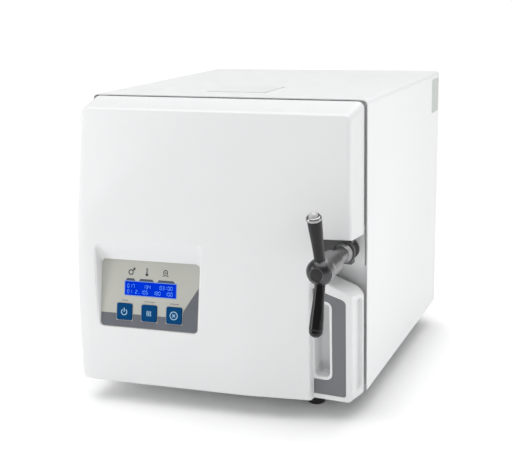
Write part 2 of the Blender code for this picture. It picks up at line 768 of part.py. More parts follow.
def notch_outline(grow=0.0):
    """The clamp's notch in the cover, open to the right."""
    left, top, out = NOTCH_LEFT - grow, NOTCH_TOP + grow, COVER_RIGHT + 0.03
    floor = NOTCH_FLOOR - grow * 1.06
    corner = rounded(left, left + 0.03, floor - 0.003, top, 0.006 + grow / 2, 4)
    turn = [point for point in corner if point[0] < left + 0.012]
    upper = [point for point in turn if point[1] > (top + floor) / 2]
    lower = [(x, y) for x, y in turn if y < (top + floor) / 2]
    end_x = COVER_RIGHT + 0.0006 - grow
    end = floor - NOTCH_FALL * (end_x - left)
    shoulder = [(end_x - 0.0116, end + 0.0042), (end_x - 0.0050, end - 0.0005), (end_x - 0.0014, end - 0.0060)]
    return [(out, end - 0.0150), (out, top), *upper, *lower, *shoulder, (end_x, end - 0.0150)]


def panel_axes():
    """The control panel's own frame: along it, up it and out of it, from its lower left corner."""
    left = Vector((PANEL_X, PLATE_T - face_depth(PANEL_X, PANEL_Z), PANEL_Z))
    right_x = PANEL_X + PANEL_W
    right = Vector((right_x, PLATE_T - face_depth(right_x, PANEL_Z), PANEL_Z))
    along = (right - left).normalized()
    level_back = Vector((-along.y, along.x, 0))
    up = level_back * math.sin(PANEL_TILT) + Vector((0, 0, 1)) * math.cos(PANEL_TILT)
    return left, Matrix((along, up, along.cross(up))).transposed()


PANEL_AT, PANEL_TURN = panel_axes()


def on_panel(a, b, c=0.0):
    return PANEL_AT + PANEL_TURN @ Vector((a, b, c))


def panel_funnel(name, grow, floor, front):
    """The recess round the panel, wider towards its front; grow makes the wall's outer side."""
    sections = []
    for height, opening in ((floor, 0.0), (0.0, 0.0), (front, front)):
        spread = [rate * opening for rate in RECESS_SPREAD]
        left, right = spread[0] - grow, PANEL_W + spread[1] + grow
        low, high = spread[2] - grow, PANEL_H + spread[3] + grow
        outline = rounded(left, right, low, high, 0.006 + grow + 0.1 * opening, 4)
        sections.append([(x, y, height) for x, y in outline])
    return loft(name, sections, PANEL_AT, PANEL_TURN)


def grip_outline(grow=0.0):
    """The inlay round the grip's pocket, open to the left."""
    left, right, low = STEP_X + 0.0018 - grow, 0.3976 + grow, 0.003 - grow
    top = NOTCH_FLOOR - INLAY_DROP + grow
    top_left = top + INLAY_FALL * (NOTCH_LEFT - left)
    top_right = top - INLAY_FALL * (right - NOTCH_LEFT)
    rim = 0.0042 - grow
    pocket_right, pocket_low, pocket_high = POCKET[1] + rim, POCKET[2] - rim, POCKET[3] + rim
    corner = rounded(left - 0.05, pocket_right, pocket_low, pocket_high, 0.0095, 4)
    corner = [point for point in corner if point[0] > left + 0.002]
    middle = (pocket_low + pocket_high) / 2
    upper = [p for p in corner if p[1] > middle][::-1]
    lower = [p for p in corner if p[1] < middle][::-1]
    return [
        (left, low), (right - 0.002, low), (right, low + 0.002),
        (right, top_right - 0.0045), (right - 0.0013, top_right - 0.0012), (right - 0.0045, top_right + 0.0013),
        (left, top_left),
        (left, pocket_high), *upper, *lower, (left, pocket_low),
    ]


INLAY_T = 0.0012
GROOVE = (-0.027, -0.008, 0.006, 0.139)  # front, back, bottom, top
GROOVE_DEPTH = 0.006


def side_groove(name, grow=0.0):
    """The groove down the cover's right side, behind the grip; grow makes its wall's outer side."""
    front, rear, low, high = GROOVE
    edge = rounded(front - grow, rear + grow, low - grow, high + grow, 0.007 + grow, 4)
    floor = COVER_RIGHT - GROOVE_DEPTH - grow
    sections = [[(x, y, z) for y, z in edge] for x in (floor, COVER_RIGHT + 0.02)]
    return loft(name, sections)


def make_cover():
    cover = cover_solid("door_cover", 0.0, COVER_BACK, 19, 22)
    bevel = cover.modifiers.new("edge", "BEVEL")
    bevel.width = 0.004
    bevel.segments = 2
    bevel.limit_method = "ANGLE"
    bevel.angle_limit = math.radians(50)

    hollow = cutter(cover_solid("cover_hollow", COVER_WALL, 0.02, 10, 10), DOOR)
    left, right, low, high = POCKET
    wall = 0.0025
    pocket_wall = rounded(left - wall, right + wall, low - wall, high + wall, 0.008, 4)
    walls = (
        panel_funnel("panel_wall", COVER_WALL, RECESS_FLOOR - COVER_WALL, 0.05),
        flat("notch_wall", [notch_outline(COVER_WALL)], 0.2, (0, -0.08, 0)),
        flat("pocket_wall", [pocket_wall], 0.1, (0, POCKET_BACK + wall - 0.05, 0)),
        side_groove("groove_wall", 0.0022),
    )
    for solid in walls:
        combine(hollow, cutter(solid, DOOR), solver="MANIFOLD")
    hinge_half, yoke_half = EAR_SPAN / 2 + 0.003, YOKE_H / 2 + 0.003
    hinge_low = (-0.01, HINGE_Y - 0.013, CHAMBER_Z - hinge_half)
    yoke_low = (NOTCH_LEFT - 0.012, YOKE_Y[0] - 0.0065, CHAMBER_Z - yoke_half)
    inlay_front = INLAY_T + GAP - GRIP_DEPTH
    cuts = (
        hollow,
        cutter(panel_funnel("panel_recess", 0.0, RECESS_FLOOR, 0.05), DOOR),
        cutter(flat("notch", [notch_outline()], 0.2, (0, -0.08, 0)), DOOR),
        cutter(flat("pocket", [rounded(*POCKET, 0.006, 4)], 0.1, (0, POCKET_BACK - 0.05, 0)), DOOR),
        cutter(flat("inlay_seat", [grip_outline(GAP)], 0.01, (0, inlay_front - 0.005, 0)), DOOR),
        cutter(side_groove("side_groove"), DOOR),
        cutter(box("hinge_slot", hinge_low, (0.012, 0.01, CHAMBER_Z + hinge_half)), DOOR),
        cutter(box("yoke_slot", yoke_low, (NOTCH_LEFT + 0.008, 0.01, CHAMBER_Z + yoke_half)), DOOR),
    )
    for cut in cuts:
        combine(cover, cut, solver="MANIFOLD")
    finish(cover, WHITE_PLASTIC, DOOR)

    inlay = flat("grip_inlay", [grip_outline()], INLAY_T, (0, -GRIP_DEPTH + INLAY_T / 2 - 0.0001, 0))
    finish(inlay, GREY_PLASTIC, DOOR)


def make_door_plate():
    axis, front = (CHAMBER_X, 0, CHAMBER_Z), (0, -1, 0)
    plate = turned(
        "door_plate",
        [(0, 0.0160), (0.060, 0.0155), (0.136, 0.0120), (0.138, 0.0100), (0.138, 0.0065), (0, 0.0065)],
        axis, front, 48,
    )
    finish(plate, STEEL, DOOR)
    gasket = ring("door_gasket", 0.119, 0.131, GAP, 0.0065 - GAP, axis, front, 48)
    finish(gasket, SILICONE, DOOR)
    boss = turned(
        "plate_boss",
        [(0, 0.0375), (0.008, 0.0375), (0.011, 0.0350), (0.011, -YOKE_Y[0] + GAP), (0, -YOKE_Y[0] + GAP)],
        axis, front, 24,
    )
    finish(boss, STEEL, DOOR)


def make_yoke():
    """The bar across the door, from the hinge sleeve to the fork that the clamp holds."""
    low, high = CHAMBER_Z - YOKE_H / 2, CHAMBER_Z + YOKE_H / 2
    left, right, slot = HINGE_X + SLEEVE_R - 0.003, CLAMP_X + 0.010, 0.0110
    arc = [math.radians(270 - 180 * step / 8) for step in range(9)]
    fork = [(CLAMP_X + slot * math.cos(t), CHAMBER_Z + slot * math.sin(t)) for t in arc]
    outline = [
        (left, low), (right, low), (right, CHAMBER_Z - slot), *fork, (right, CHAMBER_Z + slot),
        (right, high), (left, high),
    ]
    yoke = flat("door_yoke", [outline], YOKE_Y[1] - YOKE_Y[0], (0, sum(YOKE_Y) / 2, 0))
    half = EAR_SPAN / 2 - EAR - 0.0005
    at = Vector((HINGE_X, HINGE_Y, CHAMBER_Z))
    up = Vector((0, 0, 1))
    sleeve = rod("yoke_sleeve", at - up * half, at + up * half, SLEEVE_R - 0.0002)
    combine(yoke, cutter(sleeve, DOOR), "UNION")
    bore = rod("yoke_bore", at - up * 0.05, at + up * 0.05, PIN_R + GAP, 24)
    combine(yoke, cutter(bore, DOOR))
    finish(yoke, STEEL, DOOR)


def make_panel():
    """The panel's film-covered plate, with its display window and three button holes."""
    left, right, low, high = DISPLAY
    holes = [rounded(left - GAP, right + GAP, low - GAP, high + GAP, 0.001, 2)]
    half = BUTTON / 2 + GAP
    for a, b in button_centres():
        holes.append(rounded(a - half, a + half, b - half, b + half, 0.0025, 3))
    edge = rounded(GAP, PANEL_W - GAP, GAP, PANEL_H - GAP, 0.0057, 4)
    pieces = [
        (flat("panel_plate", [edge, *holes], PLATE_T, on_panel(0, 0, -0.0011)), PANEL_FILM),
        (flat("lcd_display", [rounded(*DISPLAY, 0.001, 2)], 0.0018, on_panel(0, 0, -0.0014)), LCD_BLUE),
    ]
    for piece, material in pieces:
        piece.rotation_euler = PANEL_TURN.to_euler()
        finish(piece, material, DOOR)


def button_centres():
    return [(BUTTON_AT[0] + BUTTON_PITCH * number, BUTTON_AT[1]) for number in range(3)]


def make_buttons():
    for name, (a, b) in zip(("left", "middle", "right"), button_centres()):
        half = BUTTON / 2
        edge = rounded(-half, half, -half, half, 0.0024, 3)
        button = flat(f"button_{name}", [edge], 0.0024, on_panel(a, b, 0.0002))
        button.rotation_euler = PANEL_TURN.to_euler()
        finish(button, BUTTON_BLUE, DOOR)


def make_panel_board():
    """The panel's circuit board behind the recess."""
    board = box("panel_board", (0.045, -0.050, 0.095), (0.175, -0.0484, 0.165))
    finish(board, BOARD, DOOR)


# Handle ----------------------------------------------------------------------------------------

COLLAR_BORE = 0.0082
CLAMP_TRAVEL = 0.003


def make_collar():
    """The flanged collar, captive in the yoke's fork, that the handle presses on."""
    front, rear = -YOKE_Y[0], -YOKE_Y[1]
    profile = [
        (0.0155, front + GAP + 0.004), (0.0155, front + GAP), (0.0105, front + GAP),
        (0.0105, rear - CLAMP_TRAVEL - 0.0005), (0.0150, rear - CLAMP_TRAVEL - 0.0005),
        (0.0150, rear - CLAMP_TRAVEL - 0.0030), (COLLAR_BORE, rear - CLAMP_TRAVEL - 0.0030),
        (COLLAR_BORE, front + GAP + 0.004),
    ]
    collar = turned("clamp_collar", profile, (CLAMP_X, 0, CHAMBER_Z), (0, -1, 0), 32, closed=True)
    finish(collar, STEEL, COLLAR)


def arm_direction(sign):
    return Vector((0, -math.sin(ARM_SWEEP), sign * math.cos(ARM_SWEEP)))


def make_handle():
    start = -YOKE_Y[0] + 2 * GAP + 0.004
    hub = -HUB_Y
    turns = [math.radians(angle) for angle in (30, 50, 70, 90, 108)]
    ball = [(HUB_R * math.sin(t), hub + HUB_R * math.cos(t)) for t in turns]
    barrel_end = hub - 0.044
    bore_end = 0.060
    profile = [
        (0, hub + 0.0139), (0.0074, hub + 0.0139), (0.0079, hub + 0.0150), *ball,
        (BARREL_R - 0.0006, hub - 0.0120), (BARREL_R, barrel_end + 0.0060), (BARREL_R - 0.0012, barrel_end + 0.0018),
        (BARREL_R - 0.0040, barrel_end), (NECK_R, barrel_end - 0.0008), (NECK_R, start + 0.0080),
        (0.0135, start + 0.0030), (0.0135, start), (COLLAR_BORE, start),
        (COLLAR_BORE, bore_end), (0, bore_end + 0.003),
    ]
    body = turned("handle_hub", profile, (CLAMP_X, 0, CHAMBER_Z), (0, -1, 0), 32)
    centre = Vector((CLAMP_X, HUB_Y, CHAMBER_Z))
    socket_end, seam = 0.0125, ARM_LENGTH - 0.004  # from the hub's middle along each arm
    for side, sign in (("upper", 1), ("lower", -1)):
        out = arm_direction(sign)
        socket = rod(f"socket_{side}", centre + out * socket_end, centre + out * 0.03, ARM_ROOT_R + GAP, 24)
        combine(body, cutter(socket, HANDLE))
        profile = [
            (0, seam), (ARM_TIP_R - 0.0004, seam), (ARM_TIP_R, ARM_LENGTH - 0.006),
            (ARM_TIP_R - 0.0004, ARM_LENGTH - 0.018), (ARM_ROOT_R + 0.0006, 0.040), (ARM_ROOT_R, 0.022),
            (ARM_ROOT_R, socket_end + GAP), (0, socket_end + GAP),
        ]
        finish(turned(f"handle_arm_{side}", profile, centre, out, 24), BLACK_PLASTIC, HANDLE)
        profile = [
            (0, ARM_LENGTH + 0.0046), (0.0035, ARM_LENGTH + 0.0040), (0.0066, ARM_LENGTH + 0.0020),
            (ARM_TIP_R - 0.0005, ARM_LENGTH - 0.0010), (ARM_TIP_R - 0.0004, seam + GAP), (0, seam + GAP),
        ]
        finish(turned(f"handle_cap_{side}", profile, centre, out, 24), CHROME, HANDLE)
    finish(body, BLACK_PLASTIC, HANDLE)


def build():
    for make in (
        make_casing, make_base, make_feet, make_rear_panel, make_rear_fittings, make_rocker,
        make_safety_stem, make_chamber, make_cradles, make_trays, make_tank, make_lid, make_plumbing,
        make_electrics, make_hinge, make_stud, make_cover, make_door_plate, make_yoke, make_panel,
        make_buttons, make_panel_board, make_collar, make_handle,
    ):
        make()


build()
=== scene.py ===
"""The looks of a benchtop steam autoclave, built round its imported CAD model.

Metres, +Z up, front towards -Y. Most places are given in the cabinet frame: from the casing's front,
bottom, left corner, X to the right, Y to the back and Z up. The panel has its own frame: along it, up
it and out of it, from its lower left corner.
"""

import json
import math

import bmesh
import bpy
from mathutils import Matrix, Vector

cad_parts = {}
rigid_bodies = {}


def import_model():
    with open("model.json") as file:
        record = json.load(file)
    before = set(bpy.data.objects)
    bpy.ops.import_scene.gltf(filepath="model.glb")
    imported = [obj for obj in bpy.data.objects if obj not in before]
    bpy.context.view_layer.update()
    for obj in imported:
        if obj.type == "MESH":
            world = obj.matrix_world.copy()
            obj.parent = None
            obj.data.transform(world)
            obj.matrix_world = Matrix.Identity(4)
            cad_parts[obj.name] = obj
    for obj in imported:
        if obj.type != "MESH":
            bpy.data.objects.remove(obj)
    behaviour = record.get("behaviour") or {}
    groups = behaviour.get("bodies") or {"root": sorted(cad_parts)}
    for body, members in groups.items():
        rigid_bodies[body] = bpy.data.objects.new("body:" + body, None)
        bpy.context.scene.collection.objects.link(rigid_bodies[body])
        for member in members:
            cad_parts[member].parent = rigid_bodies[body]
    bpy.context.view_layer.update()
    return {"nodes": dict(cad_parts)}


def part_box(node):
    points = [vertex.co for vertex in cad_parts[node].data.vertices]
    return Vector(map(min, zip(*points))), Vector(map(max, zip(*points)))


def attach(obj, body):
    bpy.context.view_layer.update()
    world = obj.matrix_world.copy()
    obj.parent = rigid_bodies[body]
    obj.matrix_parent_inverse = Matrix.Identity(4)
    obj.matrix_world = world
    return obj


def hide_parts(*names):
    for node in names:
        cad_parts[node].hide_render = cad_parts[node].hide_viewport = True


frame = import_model()

CASING_LOW, CASING_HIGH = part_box("casing_wrap")
ORIGIN = CASING_LOW


def cabinet_box(node):
    """A node's lowest and highest corners in the cabinet frame."""
    low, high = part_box(node)
    return low - ORIGIN, high - ORIGIN


CASE = CASING_HIGH - CASING_LOW
COVER_LOW, COVER_HIGH = cabinet_box("door_cover")
STUD_LOW, STUD_HIGH = cabinet_box("clamp_stud")
CLAMP_X = (STUD_LOW.x + STUD_HIGH.x) / 2
CLAMP_Z = (STUD_LOW.z + STUD_HIGH.z) / 2

# The door cover, as in the CAD model
COVER_BACK = -0.003
COVER_WALL = 0.003
DRAW_IN = 0.0045
DRAW_IN_TOP = 0.011
EDGE_R = 0.0045
CORNER_R = 0.009
FACE_DEPTH = 0.045
BULGE = 0.053
BULGE_TAPER = 0.115
CREASE_X = 0.260
CREASE_Z = 0.185
CREASE_LEAN = 1.08
SCOOP_FALL = 0.075
SCOOP_TOP = 0.29
SCOOP_FADE = 0.04
PLATFORM_LEFT = 0.025
PLATFORM_SLANT = (0.0246, 0.239, -0.688, 0.725)
PLATFORM_DROP = 0.16
PLATFORM_FADE = (0.12, 0.22)
STEP_X = 0.3502
STEP_R = 0.002
STEP_FOOT = 0.0006  # a grid line this far past the step keeps its foot narrow
GRIP_DEPTH = 0.040
NOTCH_TOP = 0.2243
NOTCH_LEFT = 0.358
NOTCH_FLOOR = 0.1675
NOTCH_FALL = 0.36
INLAY_DROP = 0.0152
INLAY_FALL = 0.30
GROOVE = (-0.027, -0.008, 0.006, 0.139)  # front, back, bottom, top
GROOVE_DEPTH = 0.006
POCKET = (0.3530, 0.3745, 0.0286, 0.1335)
POCKET_BACK = -0.012
INLAY_T = 0.0012
HUB_R = 0.0175
HUB_FRONT = 0.0139  # from the hub's front to its middle
ARM_SWEEP = math.radians(16.5)
ARM_LENGTH = 0.077
GAP = 0.0003
PAST_SIDE = 0.0006  # how far a cutter's end stands out of the cover's right side
PAST_RIGHT = 0.03  # how far a cutter that opens to the right runs past it
BEFORE_FACE = -0.2  # the front end of a cutter, well before the cover
SHOULDER_R = 0.0150
NOTCH_CORNER_R = 0.007
NOTCH_BEND = 0.006
NOTCH_EDGE_R = 0.0028
POCKET_LIP = 0.0022
POCKET_BOTTOM_R = 0.003
POCKET_CORNER_R = 0.006
POCKET_WALL = 0.0025
GROOVE_CORNER_R = 0.007
GROOVE_WALL = 0.0022
RECESS_CORNER_R = 0.006
RECESS_CORNER_GROWTH = 0.1
RECESS_EDGE_R = 0.0022
INLAY_RIGHT = 0.3976
INLAY_LOW = 0.003
INLAY_RIM = 0.0042
INLAY_RIM_R = 0.0095

# The control panel
PANEL_W = 0.150
PANEL_H = 0.0967
PANEL_X = 0.0437
PANEL_Z = 0.080
PANEL_TILT = math.radians(12.45)
PLATE_T = 0.0012
RECESS_FLOOR = -0.0025
RECESS_SPREAD = (-0.21, 0.45, -0.05, 1.36)
BUTTON = 0.0238
BUTTON_PITCH = 0.0382
BUTTON_AT = (0.0375, 0.0228)
DISPLAY = (0.0368, 0.1160, 0.0468, 0.0668)
FILM_TOP = -0.0005  # the film's front face, out of the panel
INK_T = 0.00012


# Meshes ------------------------------------------------------------------------------------------


def from_bmesh(name, bm, place=(0, 0, 0)):
    bmesh.ops.recalc_face_normals(bm, faces=bm.faces)
    mesh = bpy.data.meshes.new(name)
    bm.to_mesh(mesh)
    bm.free()
    obj = bpy.data.objects.new(name, mesh)
    obj.location = place
    return obj


def add(obj, material, body, sharp=35):
    """Puts a piece made in the cabinet frame on its CAD body, with its finish."""
    bpy.context.scene.collection.objects.link(obj)
    obj.location += ORIGIN
    obj.data.materials.clear()
    obj.data.materials.append(material)
    if obj.type == "MESH":
        obj.data.shade_smooth()
        obj.data.set_sharp_from_angle(angle=math.radians(sharp))
    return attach(obj, body)


def circle(x, y, radius, sides=32):
    turns = [2 * math.pi * step / sides for step in range(sides)]
    return [(x + radius * math.cos(turn), y + radius * math.sin(turn)) for turn in turns]


def rounded(left, right, low, high, radius, segments=4):
    """The outline of a rectangle with round corners, anticlockwise."""
    corners = [(right, low, -90), (right, high, 0), (left, high, 90), (left, low, 180)]
    points = []
    for x, y, angle in corners:
        cx = x - math.copysign(radius, x - (left + right) / 2)
        cy = y - math.copysign(radius, y - (low + high) / 2)
        for step in range(segments + 1):
            turn = math.radians(angle + 90 * step / segments)
            points.append((cx + radius * math.cos(turn), cy + radius * math.sin(turn)))
    return points


PLANES = {
    "XY": Matrix.Identity(3),
    "XZ": Matrix(((1, 0, 0), (0, 0, -1), (0, 1, 0))),
    "YZ": Matrix(((0, 0, 1), (1, 0, 0), (0, 1, 0))),
}


def flat(name, outlines, thickness, place=(0, 0, 0), turn=PLANES["XZ"], bevel=0.0):
    """A flat sheet with holes, centred on its plane. The first outline is its edge."""
    data = bpy.data.curves.new(name, "CURVE")
    data.dimensions = "2D"
    data.fill_mode = "BOTH"
    data.extrude = thickness / 2 - bevel
    data.bevel_depth = bevel
    data.bevel_resolution = 2
    data.offset = -bevel
    for outline in outlines:
        spline = data.splines.new("POLY")
        spline.points.add(len(outline) - 1)
        for point, (x, y) in zip(spline.points, outline):
            point.co = (x, y, 0, 1)
        spline.use_cyclic_u = True
    guide = bpy.data.objects.new(name, data)
    bpy.context.scene.collection.objects.link(guide)
    graph = bpy.context.evaluated_depsgraph_get()
    mesh = bpy.data.meshes.new_from_object(guide.evaluated_get(graph))
    bpy.data.objects.remove(guide)
    bm = bmesh.new()
    bm.from_mesh(mesh)
    bmesh.ops.remove_doubles(bm, verts=bm.verts, dist=0.00001)
    bpy.data.meshes.remove(mesh)
    obj = from_bmesh(name, bm, place)
    obj.rotation_euler = turn.to_euler()
    return obj


def loft(name, sections, place=(0, 0, 0)):
    """A closed solid through sections, each a list of as many 3-D points."""
    bm = bmesh.new()
    loops = [[bm.verts.new(point) for point in section] for section in sections]
    for below, above in zip(loops, loops[1:]):
        for i in range(len(below)):
            j = (i + 1) % len(below)
            bm.faces.new((below[i], below[j], above[j], above[i]))
    bm.faces.new(loops[0][::-1])
    bm.faces.new(loops[-1])
    return from_bmesh(name, bm, place)


def turned(name, profile, place, along=(0, 0, 1), steps=64):
    """A profile of (radius, height) points turned about the direction along, from place."""
    turn = Vector(along).to_track_quat("Z", "Y").to_matrix()
    bm = bmesh.new()
    rings = []
    for radius, height in profile:
        count = 1 if radius == 0 else steps
        turns = [2 * math.pi * step / steps for step in range(count)]
        ring = [turn @ Vector((radius * math.cos(t), radius * math.sin(t), height)) for t in turns]
        rings.append([bm.verts.new(point) for point in ring])
    for below, above in zip(rings, rings[1:]):
        for i in range(steps):
            corners = [below[i % len(below)], below[(i + 1) % len(below)]]
            corners += [above[(i + 1) % len(above)], above[i % len(above)]]
            bm.faces.new(sorted(set(corners), key=corners.index))
    return from_bmesh(name, bm, place)


def cut(obj, cutters):
    """The mesh of obj with the cutters taken out of it."""
    scene = bpy.context.scene.collection.objects
    scene.link(obj)
    for other in cutters:
        scene.link(other)
        modifier = obj.modifiers.new("cut", "BOOLEAN")
        modifier.operation = "DIFFERENCE"
        modifier.object = other
        modifier.solver = "MANIFOLD"
    graph = bpy.context.evaluated_depsgraph_get()
    mesh = bpy.data.meshes.new_from_object(obj.evaluated_get(graph))
    name, place = obj.name, obj.location.copy()
    for gone in (obj, *cutters):
        bpy.data.objects.remove(gone)
    mesh.name = name
    result = bpy.data.objects.new(name, mesh)
    result.location = place
    return result


# Finishes ----------------------------------------------------------------------------------------


class Finish:
    """A procedural material, put together from noise on the object's own coordinates."""

    def __init__(self, name, colour, roughness, metallic=0.0, **sockets):
        self.material = bpy.data.materials.new(name)
        self.material.use_nodes = True
        self.nodes = self.material.node_tree.nodes
        self.link = self.material.node_tree.links.new
        self.shader = self.nodes["Principled BSDF"]
        self.colour = colour
        self.roughness = roughness
        self.shader.inputs["Base Color"].default_value = (*colour, 1)
        self.shader.inputs["Roughness"].default_value = roughness
        self.shader.inputs["Metallic"].default_value = metallic
        for socket, value in sockets.items():
            self.shader.inputs[socket.replace("_", " ")].default_value = value
        self.coordinates = self.nodes.new("ShaderNodeTexCoord")
        self.normal = None

    def noise(self, scale, stretch=(1, 1, 1), detail=2.0):
        mapping = self.nodes.new("ShaderNodeMapping")
        mapping.inputs["Scale"].default_value = stretch
        texture = self.nodes.new("ShaderNodeTexNoise")
        texture.inputs["Scale"].default_value = scale
        texture.inputs["Detail"].default_value = detail
        self.link(self.coordinates.outputs["Object"], mapping.inputs["Vector"])
        self.link(mapping.outputs["Vector"], texture.inputs["Vector"])
        return texture.outputs["Fac"]

    def spread(self, value, low, high):
        """A noise value brought to the range from low to high."""
        node = self.nodes.new("ShaderNodeMapRange")
        node.inputs["From Min"].default_value = 0.3
        node.inputs["From Max"].default_value = 0.7
        node.inputs["To Min"].default_value = low
        node.inputs["To Max"].default_value = high
        self.link(value, node.inputs["Value"])
        return node.outputs["Result"]

    def mottle(self, scale, amount, stretch=(1, 1, 1)):
        """Slow changes of shade, by a share of the colour's own value."""
        mix = self.nodes.new("ShaderNodeMix")
        mix.data_type = "RGBA"
        mix.inputs[6].default_value = (*[c * (1 - amount) for c in self.colour], 1)
        mix.inputs[7].default_value = (*[min(c * (1 + amount), 1) for c in self.colour], 1)
        self.link(self.spread(self.noise(scale, stretch), 0, 1), mix.inputs[0])
        self.link(mix.outputs[2], self.shader.inputs["Base Color"])
        return self

    def gloss(self, scale, amount, stretch=(1, 1, 1)):
        """Uneven gloss: roughness changes by this amount either way."""
        value = self.spread(self.noise(scale, stretch, 4.0), self.roughness - amount, self.roughness + amount)
        self.link(value, self.shader.inputs["Roughness"])
        return self

    def relief(self, scale, depth, stretch=(1, 1, 1), detail=2.0):
        """Fine surface relief, its depth in metres."""
        bump = self.nodes.new("ShaderNodeBump")
        bump.inputs["Strength"].default_value = 1.0
        bump.inputs["Distance"].default_value = depth
        self.link(self.noise(scale, stretch, detail), bump.inputs["Height"])
        if self.normal is not None:
            self.link(self.normal, bump.inputs["Normal"])
        self.normal = bump.outputs["Normal"]
        self.link(self.normal, self.shader.inputs["Normal"])
        return self


def moulded(name, colour, roughness, **sockets):
    """Moulded plastic with a fine spark-eroded texture."""
    finish = Finish(name, colour, roughness, **sockets)
    return finish.mottle(6, 0.012).gloss(40, 0.04).relief(1400, 0.00002).relief(9, 0.0006).material


def painted(name, colour, roughness):
    """Powder coat on sheet metal, with its orange peel."""
    finish = Finish(name, colour, roughness)
    return finish.mottle(4, 0.01).gloss(60, 0.05).relief(420, 0.00004, detail=1.0).relief(3, 0.0008).material


def brushed(name, colour, roughness, stretch):
    """Stainless steel brushed along the axis with the smallest stretch."""
    finish = Finish(name, colour, roughness, 1.0)
    return finish.mottle(260, 0.02, stretch).gloss(420, 0.03, stretch).relief(900, 0.000003, stretch).material


def polished(name, colour, roughness, metallic=1.0, **sockets):
    finish = Finish(name, colour, roughness, metallic, **sockets)
    return finish.mottle(25, 0.08).gloss(120, 0.03).relief(60, 0.00003).material


def film(name, colour, roughness, amount):
    """The printed film of the panel, finely grained."""
    finish = Finish(name, colour, roughness)
    return finish.mottle(14, amount).gloss(70, 0.04).relief(2600, 0.000012).material


COVER_WHITE = moulded("cover_white", (0.83, 0.835, 0.84), 0.32)
CASING_WHITE = painted("casing_white", (0.895, 0.90, 0.905), 0.38)
# Dark grey paint of the yoke, made darker than its lit end really is: painted shade, so the yoke's shaded
# side and the clamp collar read black in the notch's gap.
YOKE_DARK_AND_SHADE = painted("yoke_dark_and_shade", (0.10, 0.10, 0.102), 0.5)
LID_WHITE = moulded("lid_white", (0.89, 0.895, 0.90), 0.34)
INLAY_GREY = moulded("inlay_grey", (0.172, 0.181, 0.190), 0.5)
FILM_GREY = film("panel_film", (0.515, 0.517, 0.472), 0.4, 0.025)
FILM_DARK = film("panel_ink", (0.135, 0.145, 0.165), 0.36, 0.03)
INK = Finish("symbol_ink", (0.022, 0.023, 0.025), 0.5).mottle(400, 0.08).gloss(200, 0.05).material
TAB_INK = Finish("tab_ink", (0.065, 0.085, 0.125), 0.4).mottle(300, 0.06).gloss(200, 0.05).material
LCD_GLASS = Finish(
    "lcd_blue", (0.0, 0.030, 0.57), 0.6, Specular_IOR_Level=0.0, Emission_Color=(0.0, 0.03, 0.6, 1),
    Emission_Strength=0.2,
).mottle(60, 0.08).gloss(120, 0.03).material
LCD_RIM = Finish("lcd_rim", (0.20, 0.33, 0.72), 0.5).mottle(300, 0.05).gloss(200, 0.05).material
LCD_DIGIT = Finish(
    "lcd_digit", (0.14, 0.40, 0.92), 0.4, Emission_Color=(0.08, 0.25, 0.9, 1), Emission_Strength=0.2,
).mottle(500, 0.06).gloss(200, 0.05).material
BUTTON_BLUE = moulded("button_blue", (0.001, 0.058, 0.185), 0.5, Specular_IOR_Level=0.05)
BUTTON_MARK = Finish("button_mark", (0.42, 0.66, 0.84), 0.4).mottle(500, 0.05).gloss(200, 0.05).material
HANDLE_BLACK = polished("handle_black", (0.0035, 0.0035, 0.004), 0.15, 0.0, Specular_IOR_Level=0.35)
HUB_BLACK = polished("hub_black", (0.030, 0.030, 0.031), 0.3, 0.0, Specular_IOR_Level=0.2)
HUB_METAL = polished("hub_metal", (0.27, 0.27, 0.275), 0.34)
HUB_DARK = polished("hub_dark", (0.085, 0.085, 0.088), 0.3)
DOME_GREY = polished("dome_grey", (0.50, 0.50, 0.50), 0.42, 0.3)
RING_METAL = polished("ring_metal", (0.34, 0.34, 0.34), 0.2)
BLACK_PLASTIC = moulded("black_plastic", (0.028, 0.028, 0.03), 0.42)
RUBBER = Finish(
    "rubber", (0.022, 0.022, 0.022), 0.75,
).mottle(60, 0.15).gloss(90, 0.08).relief(900, 0.00008).material
SILICONE = Finish(
    "silicone", (0.62, 0.61, 0.58), 0.5,
).mottle(30, 0.04).gloss(60, 0.06).relief(300, 0.00004).material
STEEL_ROUND = brushed("steel_turned", (0.56, 0.56, 0.55), 0.30, (1, 0.05, 1))
STEEL_FLAT = brushed("steel_brushed", (0.55, 0.55, 0.54), 0.32, (0.05, 1, 1))
STEEL_TRAY = brushed("steel_tray", (0.62, 0.62, 0.61), 0.26, (1, 0.05, 1))
GALVANISED = polished("galvanised", (0.50, 0.51, 0.52), 0.42)
BRASS = polished("brass", (0.62, 0.43, 0.19), 0.3)
BOARD_GREEN = Finish(
    "circuit_board", (0.015, 0.11, 0.045), 0.4,
).mottle(300, 0.25).gloss(200, 0.08).relief(500, 0.0001).material
WOOL = Finish(
    "insulation", (0.55, 0.50, 0.36), 0.95,
).mottle(80, 0.2, (1, 4, 1)).relief(160, 0.0015, detail=8.0).material
TANK_PLASTIC = moulded("tank_plastic", (0.72, 0.73, 0.70), 0.45)
STICKER = Finish(
    "sticker", (0.56, 0.60, 0.58), 0.4,
).mottle(120, 0.05).gloss(90, 0.05).relief(40, 0.0002).material
PLATE_SILVER = brushed("rating_plate", (0.62, 0.62, 0.62), 0.36, (0.05, 1, 1))

